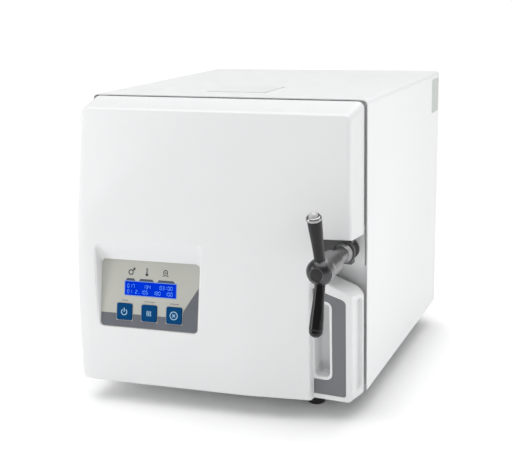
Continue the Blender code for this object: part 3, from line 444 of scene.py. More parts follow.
NODE_FINISH = {
    "casing_wrap": CASING_WHITE, "front_frame": CASING_WHITE, "rear_panel": CASING_WHITE,
    "base_chassis": GALVANISED, "filler_lid": LID_WHITE, "filler_collar": TANK_PLASTIC,
    "water_tank": TANK_PLASTIC, "power_inlet": BLACK_PLASTIC, "switch_frame": BLACK_PLASTIC,
    "mains_rocker": BLACK_PLASTIC, "fuse_holder": BLACK_PLASTIC, "safety_valve_body": BRASS,
    "safety_valve_stem": BRASS, "drain_tap": BRASS, "mouth_ring": STEEL_ROUND,
    "pressure_vessel": STEEL_ROUND, "band_heater": GALVANISED, "insulation": WOOL,
    "cradle_front": GALVANISED, "cradle_rear": GALVANISED, "tray_1": STEEL_TRAY, "tray_2": STEEL_TRAY,
    "tray_rack_left": STEEL_TRAY, "tray_rack_right": STEEL_TRAY, "fill_valve_body": BRASS,
    "fill_valve_coil": BLACK_PLASTIC, "exhaust_valve_body": BRASS, "exhaust_valve_coil": BLACK_PLASTIC,
    "fill_pipe": BRASS, "exhaust_pipe": BRASS, "drain_pipe": SILICONE, "control_board": BOARD_GREEN,
    "power_supply": GALVANISED, "hinge_bracket": GALVANISED, "hinge_pin": STEEL_ROUND,
    "stud_plate": CASING_WHITE, "clamp_stud": STEEL_ROUND, "door_plate": STEEL_FLAT,
    # The yoke and the clamp collar share the yoke's dark paint, darkened as painted shade for the notch's
    # gap.
    "door_gasket": SILICONE, "plate_boss": STEEL_ROUND, "door_yoke": YOKE_DARK_AND_SHADE,
    "panel_board": BOARD_GREEN, "grip_inlay": INLAY_GREY, "panel_plate": FILM_GREY,
    "lcd_display": LCD_GLASS, "clamp_collar": YOKE_DARK_AND_SHADE, "handle_hub": HUB_METAL,
    "handle_arm_upper": HANDLE_BLACK, "handle_arm_lower": HANDLE_BLACK,
    "handle_cap_upper": HANDLE_BLACK, "handle_cap_lower": HANDLE_BLACK,
}


def finish_nodes():
    for name, obj in frame["nodes"].items():
        material = RUBBER if name.startswith("foot_") else NODE_FINISH.get(name)
        if material is None:
            continue
        for slot in obj.material_slots:
            slot.material = material
        obj.data.shade_smooth()
        obj.data.set_sharp_from_angle(angle=math.radians(35))


# Door cover --------------------------------------------------------------------------------------


def ramp(value, width):
    """Zero below 0 and value above it, with a round turn of this width between them."""
    if value <= -width:
        return 0.0
    if value >= width:
        return value
    return (value + width) ** 2 / (4 * width)


def clamp(value, low=0.0, high=1.0):
    return min(max(value, low), high)


def face_depth(x, z):
    """How far the cover's face stands in front of the casing's front edge, at a place on it."""
    fall = clamp((COVER_HIGH.z - 0.003 - z) / CASE.z)
    swell = 1 - (1 - fall) ** 2
    depth = FACE_DEPTH + swell * (BULGE - BULGE_TAPER * x)
    crease = CREASE_X + CREASE_LEAN * max(z - CREASE_Z, 0)
    depth -= SCOOP_FALL * ramp(x - crease, 0.006) * clamp((SCOOP_TOP - z) / SCOOP_FADE)
    slant_x, slant_z, across_x, across_z = PLATFORM_SLANT
    slant = across_x * (x - slant_x) + across_z * (z - slant_z)
    outside = max(PLATFORM_LEFT - x, slant)
    solid_to, gone_at = PLATFORM_FADE
    fade = clamp((gone_at - x) / (gone_at - solid_to))
    return depth - PLATFORM_DROP * ramp(outside, 0.005) * swell * fade


def cover_depth(x, z):
    """face_depth, with the grip's sunken corner below the notch and the round edge of its step."""
    depth = face_depth(x, z)
    if z >= NOTCH_FLOOR or x <= STEP_X - STEP_R:
        return depth
    into = x - (STEP_X - STEP_R)
    if into > STEP_R + 1e-5:
        return GRIP_DEPTH
    return max(depth - (STEP_R - math.sqrt(max(STEP_R**2 - into**2, 0))), GRIP_DEPTH)


def stops(low, high, spacing, *extra):
    """Even stops with the extra ones put in, and any stop close to an extra one left out."""
    count = round((high - low) / spacing)
    even = [low + (high - low) * step / count for step in range(count + 1)]
    kept = [value for value in even if all(abs(value - other) > 0.4 * spacing for other in extra)]
    return sorted({*kept, *extra, low, high})


def ring_round(xs, zs, left, right, low, high, radius, segments=6):
    """Points round a rounded rectangle, one for each stop along its sides and more at its corners.
    With each comes the place in the grid of stops that it belongs to."""

    def along(values, start, end):
        span = values[-1] - values[0]
        return [start + (end - start) * (value - values[0]) / span for value in values]

    def corner(cx, cz, start, at):
        turns = [math.radians(start + 90 * step / segments) for step in range(1, segments)]
        return [(cx + radius * math.cos(t), cz + radius * math.sin(t), at) for t in turns]

    last_x, last_z = len(xs) - 1, len(zs) - 1
    across = along(xs, left + radius, right - radius)
    upward = along(zs, low + radius, high - radius)
    points = [(x, low, (0, i)) for i, x in enumerate(across)]
    points += corner(right - radius, low + radius, -90, (0, last_x))
    points += [(right, z, (j, last_x)) for j, z in enumerate(upward)]
    points += corner(right - radius, high - radius, 0, (last_z, last_x))
    points += [(x, high, (last_z, i)) for i, x in reversed(list(enumerate(across)))]
    points += corner(left + radius, high - radius, 90, (last_z, 0))
    points += [(left, z, (j, 0)) for j, z in reversed(list(enumerate(upward)))]
    points += corner(left + radius, low + radius, 180, (0, 0))
    return points


def cover_form(name, inset, back, spacing, edge, corner):
    """The cover's outer form, or its hollow when inset, as a closed solid from its face to back."""

    def sides(drawn, extra):
        side = inset + DRAW_IN * drawn + extra
        bottom = inset + DRAW_IN / 2 * drawn + extra
        top = inset + DRAW_IN_TOP * drawn + extra
        return COVER_LOW.x + side, COVER_HIGH.x - side, COVER_LOW.z + bottom, COVER_HIGH.z - top

    margin = corner - edge
    left, right, low, high = sides(1, edge)
    step_stops = [STEP_X - STEP_R * share - inset for share in (1, 0.7, 0.4, 0.15, 0)]
    floor_stops = [NOTCH_FLOOR - 0.0005 + inset, NOTCH_FLOOR + 0.003 + inset]
    xs = stops(left + margin, right - margin, spacing, *step_stops, STEP_X + STEP_FOOT - inset)
    zs = stops(low + margin, high - margin, spacing, *floor_stops)

    def face_y(x, z):
        return inset - cover_depth(x + inset, z - inset)

    bm = bmesh.new()
    grid = [[bm.verts.new((x, face_y(x, z), z)) for x in xs] for z in zs]
    for below, above in zip(grid, grid[1:]):
        for i in range(len(xs) - 1):
            bm.faces.new((below[i], below[i + 1], above[i + 1], above[i]))

    face_ring = ring_round(xs, zs, left, right, low, high, margin)
    depths = [face_y(x, z) for x, z, _ in face_ring]
    rings = [[grid[at[0]][at[1]] for _, _, at in face_ring]]
    rings.append([bm.verts.new((x, y, z)) for (x, z, _), y in zip(face_ring, depths)])
    for step in range(5, -1, -1):
        turn = math.radians(90 * step / 6)
        extra = edge * (1 - math.cos(turn))
        outline = ring_round(xs, zs, *sides(1, extra), corner - extra)
        drop = edge * (1 - math.sin(turn))
        rings.append([bm.verts.new((x, y + drop, z)) for (x, z, _), y in zip(outline, depths)])
    outline = ring_round(xs, zs, *sides(0, 0), corner)
    rings.append([bm.verts.new((x, back, z)) for x, z, _ in outline])
    for inner, outer in zip(rings, rings[1:]):
        for i in range(len(inner)):
            j = (i + 1) % len(inner)
            corners = [inner[i], inner[j], outer[j], outer[i]]
            bm.faces.new(sorted(set(corners), key=corners.index))
    bm.faces.new(rings[-1])
    return from_bmesh(name, bm)


def outward(outline):
    """The unit directions that point out of a closed anticlockwise outline, at each of its points."""
    found = []
    for i, _ in enumerate(outline):
        before, after = Vector(outline[i - 1]), Vector(outline[(i + 1) % len(outline)])
        run = (after - before).normalized()
        found.append(Vector((run.y, -run.x)))
    return found


def soft_cutter(name, walls, radius, front=BEFORE_FACE):
    """A cutter whose sides meet the cover's face in a round edge. Each wall is its deep points, the
    point where it meets the face, and the direction away from the opening, across the face."""
    count = len(walls[0][0])
    sections = [[deep[step] for deep, _, _ in walls] for step in range(count)]
    curve = [[] for _ in range(6)]
    for deep, meet, away in walls:
        start = meet + (deep[-1] - meet).normalized() * radius
        end = meet + Vector((away.x, 0, away.y)) * radius
        end.y = -cover_depth(end.x, end.z) - 0.00003
        for section, t in zip(curve, (0, 0.2, 0.4, 0.6, 0.8, 1)):
            section.append(start * (1 - t) ** 2 + meet * (2 * t * (1 - t)) + end * t**2)
    sections += curve
    sections.append([Vector((point.x, front, point.z)) for point in curve[-1]])
    return loft(name, sections)


def arc_between(start, corner, end, count=7):
    """Points of a smooth bend from start to end that leaves and arrives along the corner's sides."""
    start, corner, end = Vector(start), Vector(corner), Vector(end)
    points = []
    for step in range(count):
        t = step / (count - 1)
        points.append(tuple(start * (1 - t) ** 2 + corner * (2 * t * (1 - t)) + end * t**2))
    return points


def notch_outline():
    """The clamp's notch, open to the right, its floor bent down round the grip's shoulder."""
    left, top, out = NOTCH_LEFT, NOTCH_TOP, COVER_HIGH.x + PAST_RIGHT
    end_x = COVER_HIGH.x + PAST_SIDE
    end_z = NOTCH_FLOOR - NOTCH_FALL * (end_x - left)
    slope = Vector((1, -NOTCH_FALL)).normalized()
    bend_from = (end_x - slope.x * SHOULDER_R, end_z - slope.y * SHOULDER_R)
    bend_to = (end_x, end_z - SHOULDER_R)
    upper_from, upper_to = (left + NOTCH_CORNER_R, top), (left, top - NOTCH_CORNER_R)
    upper = arc_between(upper_from, (left, top), upper_to, 5)
    lower_from = (left, NOTCH_FLOOR + NOTCH_BEND)
    lower_to = (left + NOTCH_BEND, NOTCH_FLOOR - NOTCH_BEND * NOTCH_FALL)
    lower = arc_between(lower_from, (left, NOTCH_FLOOR), lower_to, 5)
    bend = arc_between(bend_from, (end_x, end_z), bend_to)
    runs = [NOTCH_BEND + 0.0045 * step for step in range(1, 7)]
    middle = [(left + run, NOTCH_FLOOR - NOTCH_FALL * run) for run in runs]
    roof = [(out, top)] + [(end_x - 0.006 * step, top) for step in range(7)]
    return [(out, bend_to[1] - 0.0001), *roof, *upper, *lower, *middle, *bend]


def notch_cutter():
    outline = notch_outline()
    walls = []
    for (x, z), away in zip(outline, outward(outline)):
        meet = Vector((x, -cover_depth(min(x, COVER_HIGH.x), z), z))
        walls.append(([Vector((x, 0.05, z))], meet, away))
    return soft_cutter("notch", walls, NOTCH_EDGE_R)


def pocket_cutter():
    """The finger pocket beside the inlay, with a round lip and a round bottom."""
    sections = []
    for step in range(5):
        turn = math.radians(90 * step / 4)
        shrink = POCKET_BOTTOM_R * (1 - math.sin(turn))
        y = POCKET_BACK - POCKET_BOTTOM_R * (1 - math.cos(turn))
        sections.append((shrink, y))
    for step in range(6):
        turn = math.radians(90 * step / 5)
        widen = POCKET_LIP * (1 - math.cos(turn))
        sections.append((-widen, POCKET_LIP - GRIP_DEPTH - POCKET_LIP * math.sin(turn)))
    sections.append((-POCKET_LIP, BEFORE_FACE))
    left, right, low, high = POCKET
    loops = []
    for inset, y in sections:
        sides = (left + inset, right - inset, low + inset, high - inset)
        outline = rounded(*sides, POCKET_CORNER_R - inset, 8)
        loops.append([(x, y, z) for x, z in outline])
    return loft("pocket", loops)


def panel_axes():
    """The panel's lower left corner, and the matrix of its own frame."""
    left = Vector((PANEL_X, PLATE_T - face_depth(PANEL_X, PANEL_Z), PANEL_Z))
    right_x = PANEL_X + PANEL_W
    right = Vector((right_x, PLATE_T - face_depth(right_x, PANEL_Z), PANEL_Z))
    along = (right - left).normalized()
    level_back = Vector((-along.y, along.x, 0))
    up = level_back * math.sin(PANEL_TILT) + Vector((0, 0, 1)) * math.cos(PANEL_TILT)
    return left, Matrix((along, up, along.cross(up))).transposed()


PANEL_AT, PANEL_TURN = panel_axes()


def on_panel(a, b, c=0.0):
    return PANEL_AT + PANEL_TURN @ Vector((a, b, c))


def funnel_outline(height):
    """The recess's outline at a height out of the panel. It widens towards the front."""
    opening = max(height, 0)
    left, right, low, high = [rate * opening for rate in RECESS_SPREAD]
    radius = RECESS_CORNER_R + RECESS_CORNER_GROWTH * opening
    return rounded(left, PANEL_W + right, low, PANEL_H + high, radius, 8)


def recess_cutter():
    """The panel's recess. Each side rises from the panel to where it meets the cover's face."""
    base = funnel_outline(0)
    walls = []
    for i, away in enumerate(outward(base)):
        low, high = 0.0, 0.06
        for _ in range(30):
            middle = (low + high) / 2
            point = on_panel(*funnel_outline(middle)[i], middle)
            low, high = (middle, high) if -point.y < face_depth(point.x, point.z) else (low, middle)
        direction = PANEL_TURN @ Vector((away.x, away.y, 0))
        away = Vector((direction.x, direction.z)).normalized()
        deep = [on_panel(*base[i], RECESS_FLOOR), on_panel(*base[i], 0.0)]
        walls.append((deep, point, away))
    return soft_cutter("panel_recess", walls, RECESS_EDGE_R)


def recess_wall():
    """The recess's outer side, taken out of the cover's hollow."""
    wall = COVER_WALL
    sections = []
    for height, opening in ((RECESS_FLOOR - wall, 0.0), (0.0, 0.0), (0.05, 0.05)):
        left, right, low, high = [rate * opening for rate in RECESS_SPREAD]
        radius = RECESS_CORNER_R + wall + RECESS_CORNER_GROWTH * opening
        sides = (left - wall, PANEL_W + right + wall, low - wall, PANEL_H + high + wall)
        sections.append([on_panel(a, b, height) for a, b in rounded(*sides, radius, 4)])
    return loft("recess_wall", sections)


def grip_outline(grow=0.0):
    """The inlay round the grip's pocket, open to the left."""
    left, right, low = STEP_X + 0.0018 - grow, INLAY_RIGHT + grow, INLAY_LOW - grow
    top = NOTCH_FLOOR - INLAY_DROP + grow
    top_left = top + INLAY_FALL * (NOTCH_LEFT - left)
    top_right = top - INLAY_FALL * (right - NOTCH_LEFT)
    rim = INLAY_RIM - grow
    pocket_right, pocket_low, pocket_high = POCKET[1] + rim, POCKET[2] - rim, POCKET[3] + rim
    corner = rounded(left - 0.05, pocket_right, pocket_low, pocket_high, INLAY_RIM_R, 8)
    corner = [point for point in corner if point[0] > left + 0.002]
    middle = (pocket_low + pocket_high) / 2
    upper = [point for point in corner if point[1] > middle][::-1]
    lower = [point for point in corner if point[1] < middle][::-1]
    round_corner = [
        (right, top_right - 0.0045), (right - 0.0013, top_right - 0.0012),
        (right - 0.0045, top_right + 0.0013),
    ]
    return [
        (left, low), (right - 0.002, low), (right, low + 0.002), *round_corner, (left, top_left),
        (left, pocket_high), *upper, *lower, (left, pocket_low),
    ]


def side_groove(name, grow=0.0):
    """The groove down the cover's right side, behind the grip; grow makes its wall's outer side."""
    front, rear, low, high = GROOVE
    lip = ((0.0012, 0.0), (0.0005, -0.0002), (0.0001, -0.0007), (-0.02, -0.0007))  # depth, inset
    sections = []
    for depth, inset in ((GROOVE_DEPTH + grow, 0.0), *lip):
        spread = grow - inset
        sides = (front - spread, rear + spread, low - spread, high + spread)
        edge = rounded(*sides, GROOVE_CORNER_R + spread, 8)
        sections.append([(COVER_HIGH.x - depth, y, z) for y, z in edge])
    return loft(name, sections)


def straight_slot(name, low, high):
    low, high = Vector(low), Vector(high)
    bm = bmesh.new()
    bmesh.ops.create_cube(bm, size=1, matrix=Matrix.Diagonal((*(high - low), 1)))
    return from_bmesh(name, bm, (low + high) / 2)


def make_cover():
    """The moulded cover: the CAD model's shape with its round edges in full."""
    left, right, low, high = POCKET
    wall = POCKET_WALL
    pocket_wall = rounded(left - wall, right + wall, low - wall, high + wall, 0.008, 4)
    notch_left, notch_top = NOTCH_LEFT - COVER_WALL, NOTCH_TOP + COVER_WALL
    floor = NOTCH_FLOOR - COVER_WALL * 1.06
    out = COVER_HIGH.x + PAST_RIGHT
    end_x = COVER_HIGH.x + PAST_SIDE - COVER_WALL
    end = floor - NOTCH_FALL * (end_x - notch_left)
    notch_wall = [
        (out, end - 0.0170), (out, notch_top), (notch_left, notch_top), (notch_left, floor),
        (end_x - SHOULDER_R, end + 0.0054), (end_x - 0.0058, end - 0.0010), (end_x - 0.0010, end - 0.0090),
        (end_x, end - 0.0170),
    ]
    hollow = cut(cover_form("cover_hollow", COVER_WALL, 0.02, 0.010, 0.002, 0.004), [
        recess_wall(),
        flat("notch_wall", [notch_wall], 0.2, (0, -0.08, 0)),
        flat("pocket_wall", [pocket_wall], 0.1, (0, POCKET_BACK + wall - 0.05, 0)),
        side_groove("groove_wall", GROOVE_WALL),
    ])
    hinge_low, hinge_high = cabinet_box("hinge_bracket")
    yoke_low, yoke_high = cabinet_box("door_yoke")
    room = Vector((0, 0.004, 0.003))
    yoke_slot_low = (NOTCH_LEFT - 0.012, yoke_low.y - 0.0065, yoke_low.z - 0.003)
    yoke_slot_high = (NOTCH_LEFT + 0.008, 0.01, yoke_high.z + 0.003)
    cutters = [
        hollow,
        recess_cutter(),
        notch_cutter(),
        pocket_cutter(),
        flat("inlay_seat", [grip_outline(GAP)], 0.01, (0, INLAY_T + GAP - GRIP_DEPTH - 0.005, 0)),
        side_groove("side_groove"),
        straight_slot("hinge_slot", (-0.01, *(hinge_low - room).yz), (0.012, 0.01, (hinge_high + room).z)),
        straight_slot("yoke_slot", yoke_slot_low, yoke_slot_high),
    ]
    cover = cut(cover_form("cover_shell", 0.0, COVER_BACK, 0.0026, EDGE_R, CORNER_R), cutters)
    add(cover, COVER_WHITE, "door", 32)
    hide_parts("door_cover")


# Control panel -----------------------------------------------------------------------------------


def panel_piece(name, outlines, material, height, thickness=INK_T, bevel=0.0):
    """A flat piece on the panel, its back at this height."""
    piece = flat(name, outlines, thickness, on_panel(0, 0, height + thickness / 2), PANEL_TURN, bevel)
    add(piece, material, "door")
    return piece


def button_centres():
    return [(BUTTON_AT[0] + BUTTON_PITCH * number, BUTTON_AT[1]) for number in range(3)]


def stroke(points, width):
    """The outline of a line of this width through points, its ends square."""
    points = [Vector(point) for point in points]
    left, right = [], []
    for i, point in enumerate(points):
        before, after = points[max(i - 1, 0)], points[min(i + 1, len(points) - 1)]
        run = (after - before).normalized()
        side = Vector((-run.y, run.x)) * width / 2
        left.append(tuple(point + side))
        right.append(tuple(point - side))
    return right + left[::-1]


def arc_line(x, y, radius, start, end, count=24):
    turns = [math.radians(start + (end - start) * step / count) for step in range(count + 1)]
    return [(x + radius * math.cos(t), y + radius * math.sin(t)) for t in turns]


def make_film():
    """The dark band of the panel's film: along the bottom, and up the right side on a slant."""
    band = 0.0198
    edge = 0.0008
    notch = BUTTON / 2 + 0.0009
    right, low = PANEL_W - edge, edge
    radius = 0.0052
    outline = arc_line(0.006, 0.006, radius, 180, 270, 6)
    outline += arc_line(right - radius, 0.006, radius, 270, 360, 6)
    outline += [(right, 0.0636), (0.1278, 0.0300), (0.1272, BUTTON_AT[1] + 0.004)]
    for a, b in reversed(button_centres()):
        outline += [(a + notch, band), (a + notch, b - notch), (a - notch, b - notch), (a - notch, band)]
    outline += [(edge, band)]
    panel_piece("panel_band", [outline], FILM_DARK, FILM_TOP)


def make_symbols():
    """Plain symbols over the display for pressure, temperature and the door, and three dark tabs."""
    line = 0.0014
    a, b = 0.0458, 0.0797
    dial = [circle(a, b, 0.0040), circle(a, b, 0.0026)]
    needle = stroke([(a + 0.0031, b + 0.0031), (a + 0.0052, b + 0.0052)], line)
    head = [(a + 0.0030, b + 0.0062), (a + 0.0066, b + 0.0034), (a + 0.0064, b + 0.0072)]
    panel_piece("symbol_pressure", [*dial, needle, head], INK, FILM_TOP)

    a, b = 0.0704, 0.0812
    stem = stroke([(a, b - 0.0018), (a, b + 0.0056)], 0.0015)
    bulb = circle(a, b - 0.0036, 0.0021, 20)
    ticks = []
    for step in (0.0, 0.002, 0.004):
        ticks.append(stroke([(a + 0.0012, b + step), (a + 0.0021, b + step)], 0.0004))
    panel_piece("symbol_temperature", [stem, bulb, *ticks], INK, FILM_TOP)

    a, b = 0.0990, 0.0814
    bow = arc_line(a, b + 0.0012, 0.0028, 180, 0, 16)
    arch = stroke([(a - 0.0026, b - 0.0022), *bow, (a + 0.0026, b - 0.0022)], 0.0013)
    base = stroke([(a - 0.0045, b - 0.0044), (a, b - 0.0030), (a + 0.0045, b - 0.0044)], 0.0012)
    core = circle(a, b + 0.0002, 0.0011, 16)
    panel_piece("symbol_door", [arch, base, core], INK, FILM_TOP)

    top = DISPLAY[3] + 0.0006
    tabs = []
    for left, right in ((0.0376, 0.0534), (0.0580, 0.0820), (0.0864, 0.1140)):
        upper = top + 0.0036
        tabs.append([(left, top), (right, top), (right - 0.0030, upper), (left + 0.0026, upper)])
    panel_piece("display_tabs", tabs, TAB_INK, FILM_TOP)

    ticks = []
    for (a, b), half in zip(button_centres(), (0.0045, 0.0080, 0.0065)):
        ticks.append(stroke([(a - half, b + 0.0162), (a + half, b + 0.0162)], 0.0006))
    panel_piece("button_lines", ticks, INK, FILM_TOP)


SEGMENTS = {
    "0": "abcdef", "1": "bc", "2": "abged", "3": "abgcd", "4": "fgbc", "5": "afgcd", "6": "afgedc",
    "7": "abc", "8": "abcdefg", "9": "abfgcd", "-": "g", " ": "",
}


def digit_bars(text, a, b, width, height, pitch):
    """Seven-segment numbers as outlines, from a place on the panel."""
    line = 0.00062
    bars = []
    for place, character in enumerate(text):
        left, low = a + pitch * place, b
        if character in ".:":
            heights = (0.0006,) if character == "." else (height * 0.3, height * 0.7)
            bars += [circle(left + width / 2, low + rise, 0.00042, 8) for rise in heights]
            continue
        right, middle, top = left + width, low + height / 2, low + height
        cut_in = 0.00042
        ends = {
            "a": ((left + cut_in, top), (right - cut_in, top)),
            "g": ((left + cut_in, middle), (right - cut_in, middle)),
            "d": ((left + cut_in, low), (right - cut_in, low)),
            "f": ((left, top - cut_in), (left, middle + cut_in)),
            "b": ((right, top - cut_in), (right, middle + cut_in)),
            "e": ((left, middle - cut_in), (left, low + cut_in)),
            "c": ((right, middle - cut_in), (right, low + cut_in)),
        }
        bars += [stroke(ends[segment], line) for segment in SEGMENTS[character]]
    return bars


def make_display():
    """The display's window frame, and its two rows of numbers."""
    left, right, low, high = DISPLAY
    frame_w = 0.0008
    outer = rounded(left - frame_w, right + frame_w, low - frame_w, high + frame_w, 0.0014, 4)
    inner = rounded(left + 0.0002, right - 0.0002, low + 0.0002, high - 0.0002, 0.0009, 4)
    panel_piece("display_frame", [outer, inner], LCD_RIM, FILM_TOP, 0.00025)
    size = (0.0026, 0.0050, 0.0041)
    top_row, low_row = low + 0.0108, low + 0.0028
    bars = []
    for text, a, b in (
        ("017", left + 0.004, top_row), ("134", left + 0.0285, top_row), ("03:00", left + 0.054, top_row),
        ("01", left + 0.004, low_row), ("2.105", left + 0.0165, low_row), ("180", left + 0.044, low_row),
        ("100", left + 0.0625, low_row),
    ):
        bars += digit_bars(text, a, b, *size)
    panel_piece("display_numbers", bars, LCD_DIGIT, FILM_TOP + 0.00002, 0.0001)


def make_buttons():
    """Three crowned square keys with pale symbols."""
    half = BUTTON / 2
    steam = [(0.0006 * math.sin(step * 1.1), -0.0036 + 0.0008 * step) for step in range(10)]
    crown = (
        (0, -0.0009), (0, 0.0004), (0.0003, 0.0010), (0.0009, 0.0013), (0.0020, 0.00140), (0.0045, 0.00145),
    )  # inset, height
    marks = {
        "left": [
            stroke(arc_line(0, -0.0004, 0.0042, 125, 415), 0.0011),
            stroke([(0, -0.0002), (0, 0.0056)], 0.0012),
        ],
        "middle": [
            stroke([(x + dx, z) for dx, z in steam], 0.0010)
            for x in (-0.0027, 0, 0.0027)
        ],
        "right": [
            circle(0, 0, 0.0060, 40), circle(0, 0, 0.0049, 40),
            stroke([(-0.0020, -0.0020), (0.0020, 0.0020)], 0.0011),
            stroke([(-0.0020, 0.0020), (-0.0005, 0.0005)], 0.0011),
            stroke([(0.0005, -0.0005), (0.0020, -0.0020)], 0.0011),
        ],
    }
    for name, (a, b) in zip(("left", "middle", "right"), button_centres()):
        sections = []
        for inset, height in crown:
            radius = max(0.0026 - inset * 0.5, 0.0006)
            outline = rounded(inset - half, half - inset, inset - half, half - inset, radius, 6)
            sections.append([PANEL_TURN @ Vector((x, y, height)) for x, y in outline])
        key = loft(f"key_{name}", sections, on_panel(a, b))
        add(key, BUTTON_BLUE, f"button_{name}", 50)
        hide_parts(f"button_{name}")
        mark = flat(f"key_mark_{name}", marks[name], INK_T, on_panel(a, b, 0.00148), PANEL_TURN)
        add(mark, BUTTON_MARK, f"button_{name}")


# Handle ------------------------------------------------------------------------------------------


def add_to_handle(name, profile, place, along, material):
    piece = turned(name, profile, place, along)
    add(piece, material, "handle")


def make_handle_details():
    """The shield and the disc on the hub's front, the upper arm's dome, and the ring round it."""
    hub_y = cabinet_box("handle_hub")[0].y
    face = (CLAMP_X, hub_y, CLAMP_Z)
    turns = [math.radians(30 + 8 * step) for step in range(6)]
    shell = HUB_R + 0.0004
    shield = [(shell * math.sin(t), shell * math.cos(t) - HUB_FRONT) for t in turns]
    inside = [(radius - 0.0012, height - 0.0004) for radius, height in reversed(shield)]
    shield += [*inside, shield[0]]
    add_to_handle("hub_shield", shield, face, (0, -1, 0), HUB_DARK)
    disc = [
        (0, 0.0014), (0.0064, 0.0014), (0.0086, 0.0009), (0.0092, -0.0002), (0.0090, -0.0016),
        (0, -0.0022),
    ]
    add_to_handle("hub_disc", disc, face, (0, -1, 0), HUB_BLACK)

    hub = Vector((CLAMP_X, hub_y + HUB_FRONT, CLAMP_Z))
    out = Vector((0, -math.sin(ARM_SWEEP), math.cos(ARM_SWEEP)))
    dome = [
        (0, 0.0054), (0.0022, 0.0051), (0.0042, 0.0041), (0.0056, 0.0024), (0.0062, 0.0005),
        (0.0060, -0.0008), (0, -0.0008),
    ]
    add_to_handle("cap_dome", dome, hub + out * (ARM_LENGTH + 0.0006), out, DOME_GREY)
    ring = [
        (0.0092, -0.0040), (0.0096, -0.0034), (0.0097, -0.0020), (0.0093, -0.0004),
        (0.0082, 0.0008), (0.0070, 0.0012), (0.0066, 0.0004), (0.0070, -0.0040),
    ]
    add_to_handle("cap_ring", ring, hub + out * ARM_LENGTH, out, RING_METAL)


# Casing and rear ---------------------------------------------------------------------------------


def pan_screw(name, place, along, radius, body="cabinet"):
    """A pan-head screw with a cross slot."""
    shape = ((0, 0.55), (0.45, 0.52), (0.8, 0.36), (1, 0.08), (1, 0), (0, 0))
    profile = [(radius * out, radius * height) for out, height in shape]
    head = turned(name, profile, place, along, 24)
    turn = Vector(along).to_track_quat("Z", "Y").to_matrix()
    slot_at = Vector(place) + turn @ Vector((0, 0, radius * 0.75))
    slots = []
    for number, (width, length) in enumerate(((0.22, 1.1), (1.1, 0.22))):
        half_w, half_l = width * radius / 2, length * radius / 2
        outline = rounded(-half_w, half_w, -half_l, half_l, 0.0001, 1)
        slots.append(flat(f"{name}_slot_{number}", [outline], radius, slot_at, turn))
    screw = cut(head, slots)
    add(screw, GALVANISED, body)


REAR_SCREWS = (
    (0.012, 0.020), (0.403, 0.020), (0.012, 0.200), (0.403, 0.200), (0.012, 0.385), (0.403, 0.385),
    (0.207, 0.385),
)  # x, z
REAR_SCREW_R = 0.0034
REAR_SINK = 0.0012  # how far the rear panel's face lies inside the casing's rear edge
RATING_T = 0.0006


def make_rear_details():
    """The screws round the rear panel, and its blank rating plate."""
    back = CASE.y - REAR_SINK
    for number, (x, z) in enumerate(REAR_SCREWS):
        pan_screw(f"rear_screw_{number}", (x, back, z), (0, 1, 0), REAR_SCREW_R)
    outline = rounded(0.250, 0.320, 0.060, 0.105, 0.002, 4)
    plate = flat("rating_plate", [outline], RATING_T, (0, back + RATING_T / 2, 0), bevel=0.0001)
    add(plate, PLATE_SILVER, "cabinet")


def make_sticker():
    """A blank label on the casing's right side."""
    outline = rounded(0.346, 0.388, 0.336, 0.390, 0.002, 4)
    label = flat("side_label", [outline], 0.00015, (CASE.x + 0.0001, 0, 0), PLANES["YZ"])
    add(label, STICKER, "cabinet")


# Stage -------------------------------------------------------------------------------------------


FLOOR_HALF = 900.0
WORLD_LIGHT = 0.27
BACKDROP = 0.95  # the world's strength where the camera sees it


def make_floor():
    bm = bmesh.new()
    bmesh.ops.create_grid(bm, x_segments=1, y_segments=1, size=FLOOR_HALF)
    floor = from_bmesh("floor", bm)
    bpy.context.scene.collection.objects.link(floor)
    glow = {"Emission_Color": (1, 1, 1, 1), "Emission_Strength": 0.02}
    finish = Finish("floor_white", (0.97, 0.97, 0.97), 0.9, **glow)
    floor.data.materials.append(finish.mottle(1.5, 0.004).material)


def aim(light, source):
    """Turns a light so that it shines from this direction."""
    light.rotation_euler = Vector(source).to_track_quat("Z", "Y").to_euler()


def make_sun(name, source, angle, strength):
    data = bpy.data.lights.new(name, "SUN")
    data.angle = math.radians(angle)
    data.energy = strength
    light = bpy.data.objects.new(name, data)
    aim(light, source)
    bpy.context.scene.collection.objects.link(light)


def make_softbox(name, place, size, power):
    data = bpy.data.lights.new(name, "AREA")
    data.shape = "RECTANGLE"
    data.size, data.size_y = size
    data.energy = power
    light = bpy.data.objects.new(name, data)
    light.location = place
    aim(light, Vector(place) - Vector((0, 0, 0.2)))
    bpy.context.scene.collection.objects.link(light)


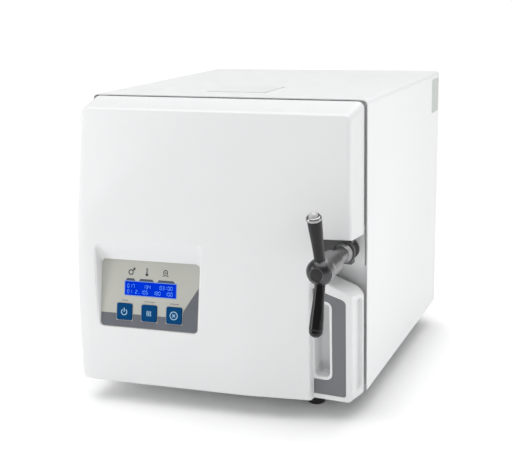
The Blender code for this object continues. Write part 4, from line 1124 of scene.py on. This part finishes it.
def make_lights():
    world = bpy.data.worlds.new("studio")
    world.use_nodes = True
    background = world.node_tree.nodes["Background"]
    background.inputs["Color"].default_value = (1, 1, 1, 1)
    nodes, links = world.node_tree.nodes, world.node_tree.links
    backdrop = nodes.new("ShaderNodeMath")
    backdrop.operation = "MULTIPLY_ADD"
    backdrop.inputs[1].default_value = BACKDROP - WORLD_LIGHT
    backdrop.inputs[2].default_value = WORLD_LIGHT
    links.new(nodes.new("ShaderNodeLightPath").outputs["Is Camera Ray"], backdrop.inputs[0])
    links.new(backdrop.outputs["Value"], background.inputs["Strength"])
    bpy.context.scene.world = world
    make_sun("top_light", (0, 0.1, 1), 80, 2.75)
    make_softbox("right_softbox", (0.72, -0.13, 0.44), (0.12, 0.6), 0.46)
    make_softbox("left_softbox", (-1.1, -1.0, 0.62), (0.45, 1.0), 5.1)
    settings = bpy.context.scene.view_settings
    settings.view_transform = "Standard"
    settings.look = "None"


CAMERA_AT = (0.5466, -1.2268, 0.5771)
CAMERA_AZIMUTH = math.radians(24.634)
CAMERA_HEIGHT = math.radians(15.564)
CAMERA_ROLL = math.radians(-1.819)
CAMERA_LENS = 62.82


def make_camera():
    back = Vector((
        math.sin(CAMERA_AZIMUTH) * math.cos(CAMERA_HEIGHT),
        -math.cos(CAMERA_AZIMUTH) * math.cos(CAMERA_HEIGHT),
        math.sin(CAMERA_HEIGHT),
    ))
    level = Vector((math.cos(CAMERA_AZIMUTH), math.sin(CAMERA_AZIMUTH), 0))
    upright = back.cross(level)
    cosine, sine = math.cos(CAMERA_ROLL), math.sin(CAMERA_ROLL)
    right = level * cosine + upright * sine
    up = upright * cosine - level * sine
    data = bpy.data.cameras.new("camera")
    data.lens = CAMERA_LENS
    data.sensor_width = 36
    camera = bpy.data.objects.new("camera", data)
    turn = Matrix((right, up, back)).transposed().to_4x4()
    camera.matrix_world = Matrix.Translation(CAMERA_AT) @ turn
    bpy.context.scene.collection.objects.link(camera)
    bpy.context.scene.camera = camera


make_camera()
make_floor()
make_lights()
finish_nodes()
make_cover()
make_film()
make_symbols()
make_display()
make_buttons()
make_handle_details()
make_rear_details()
make_sticker()
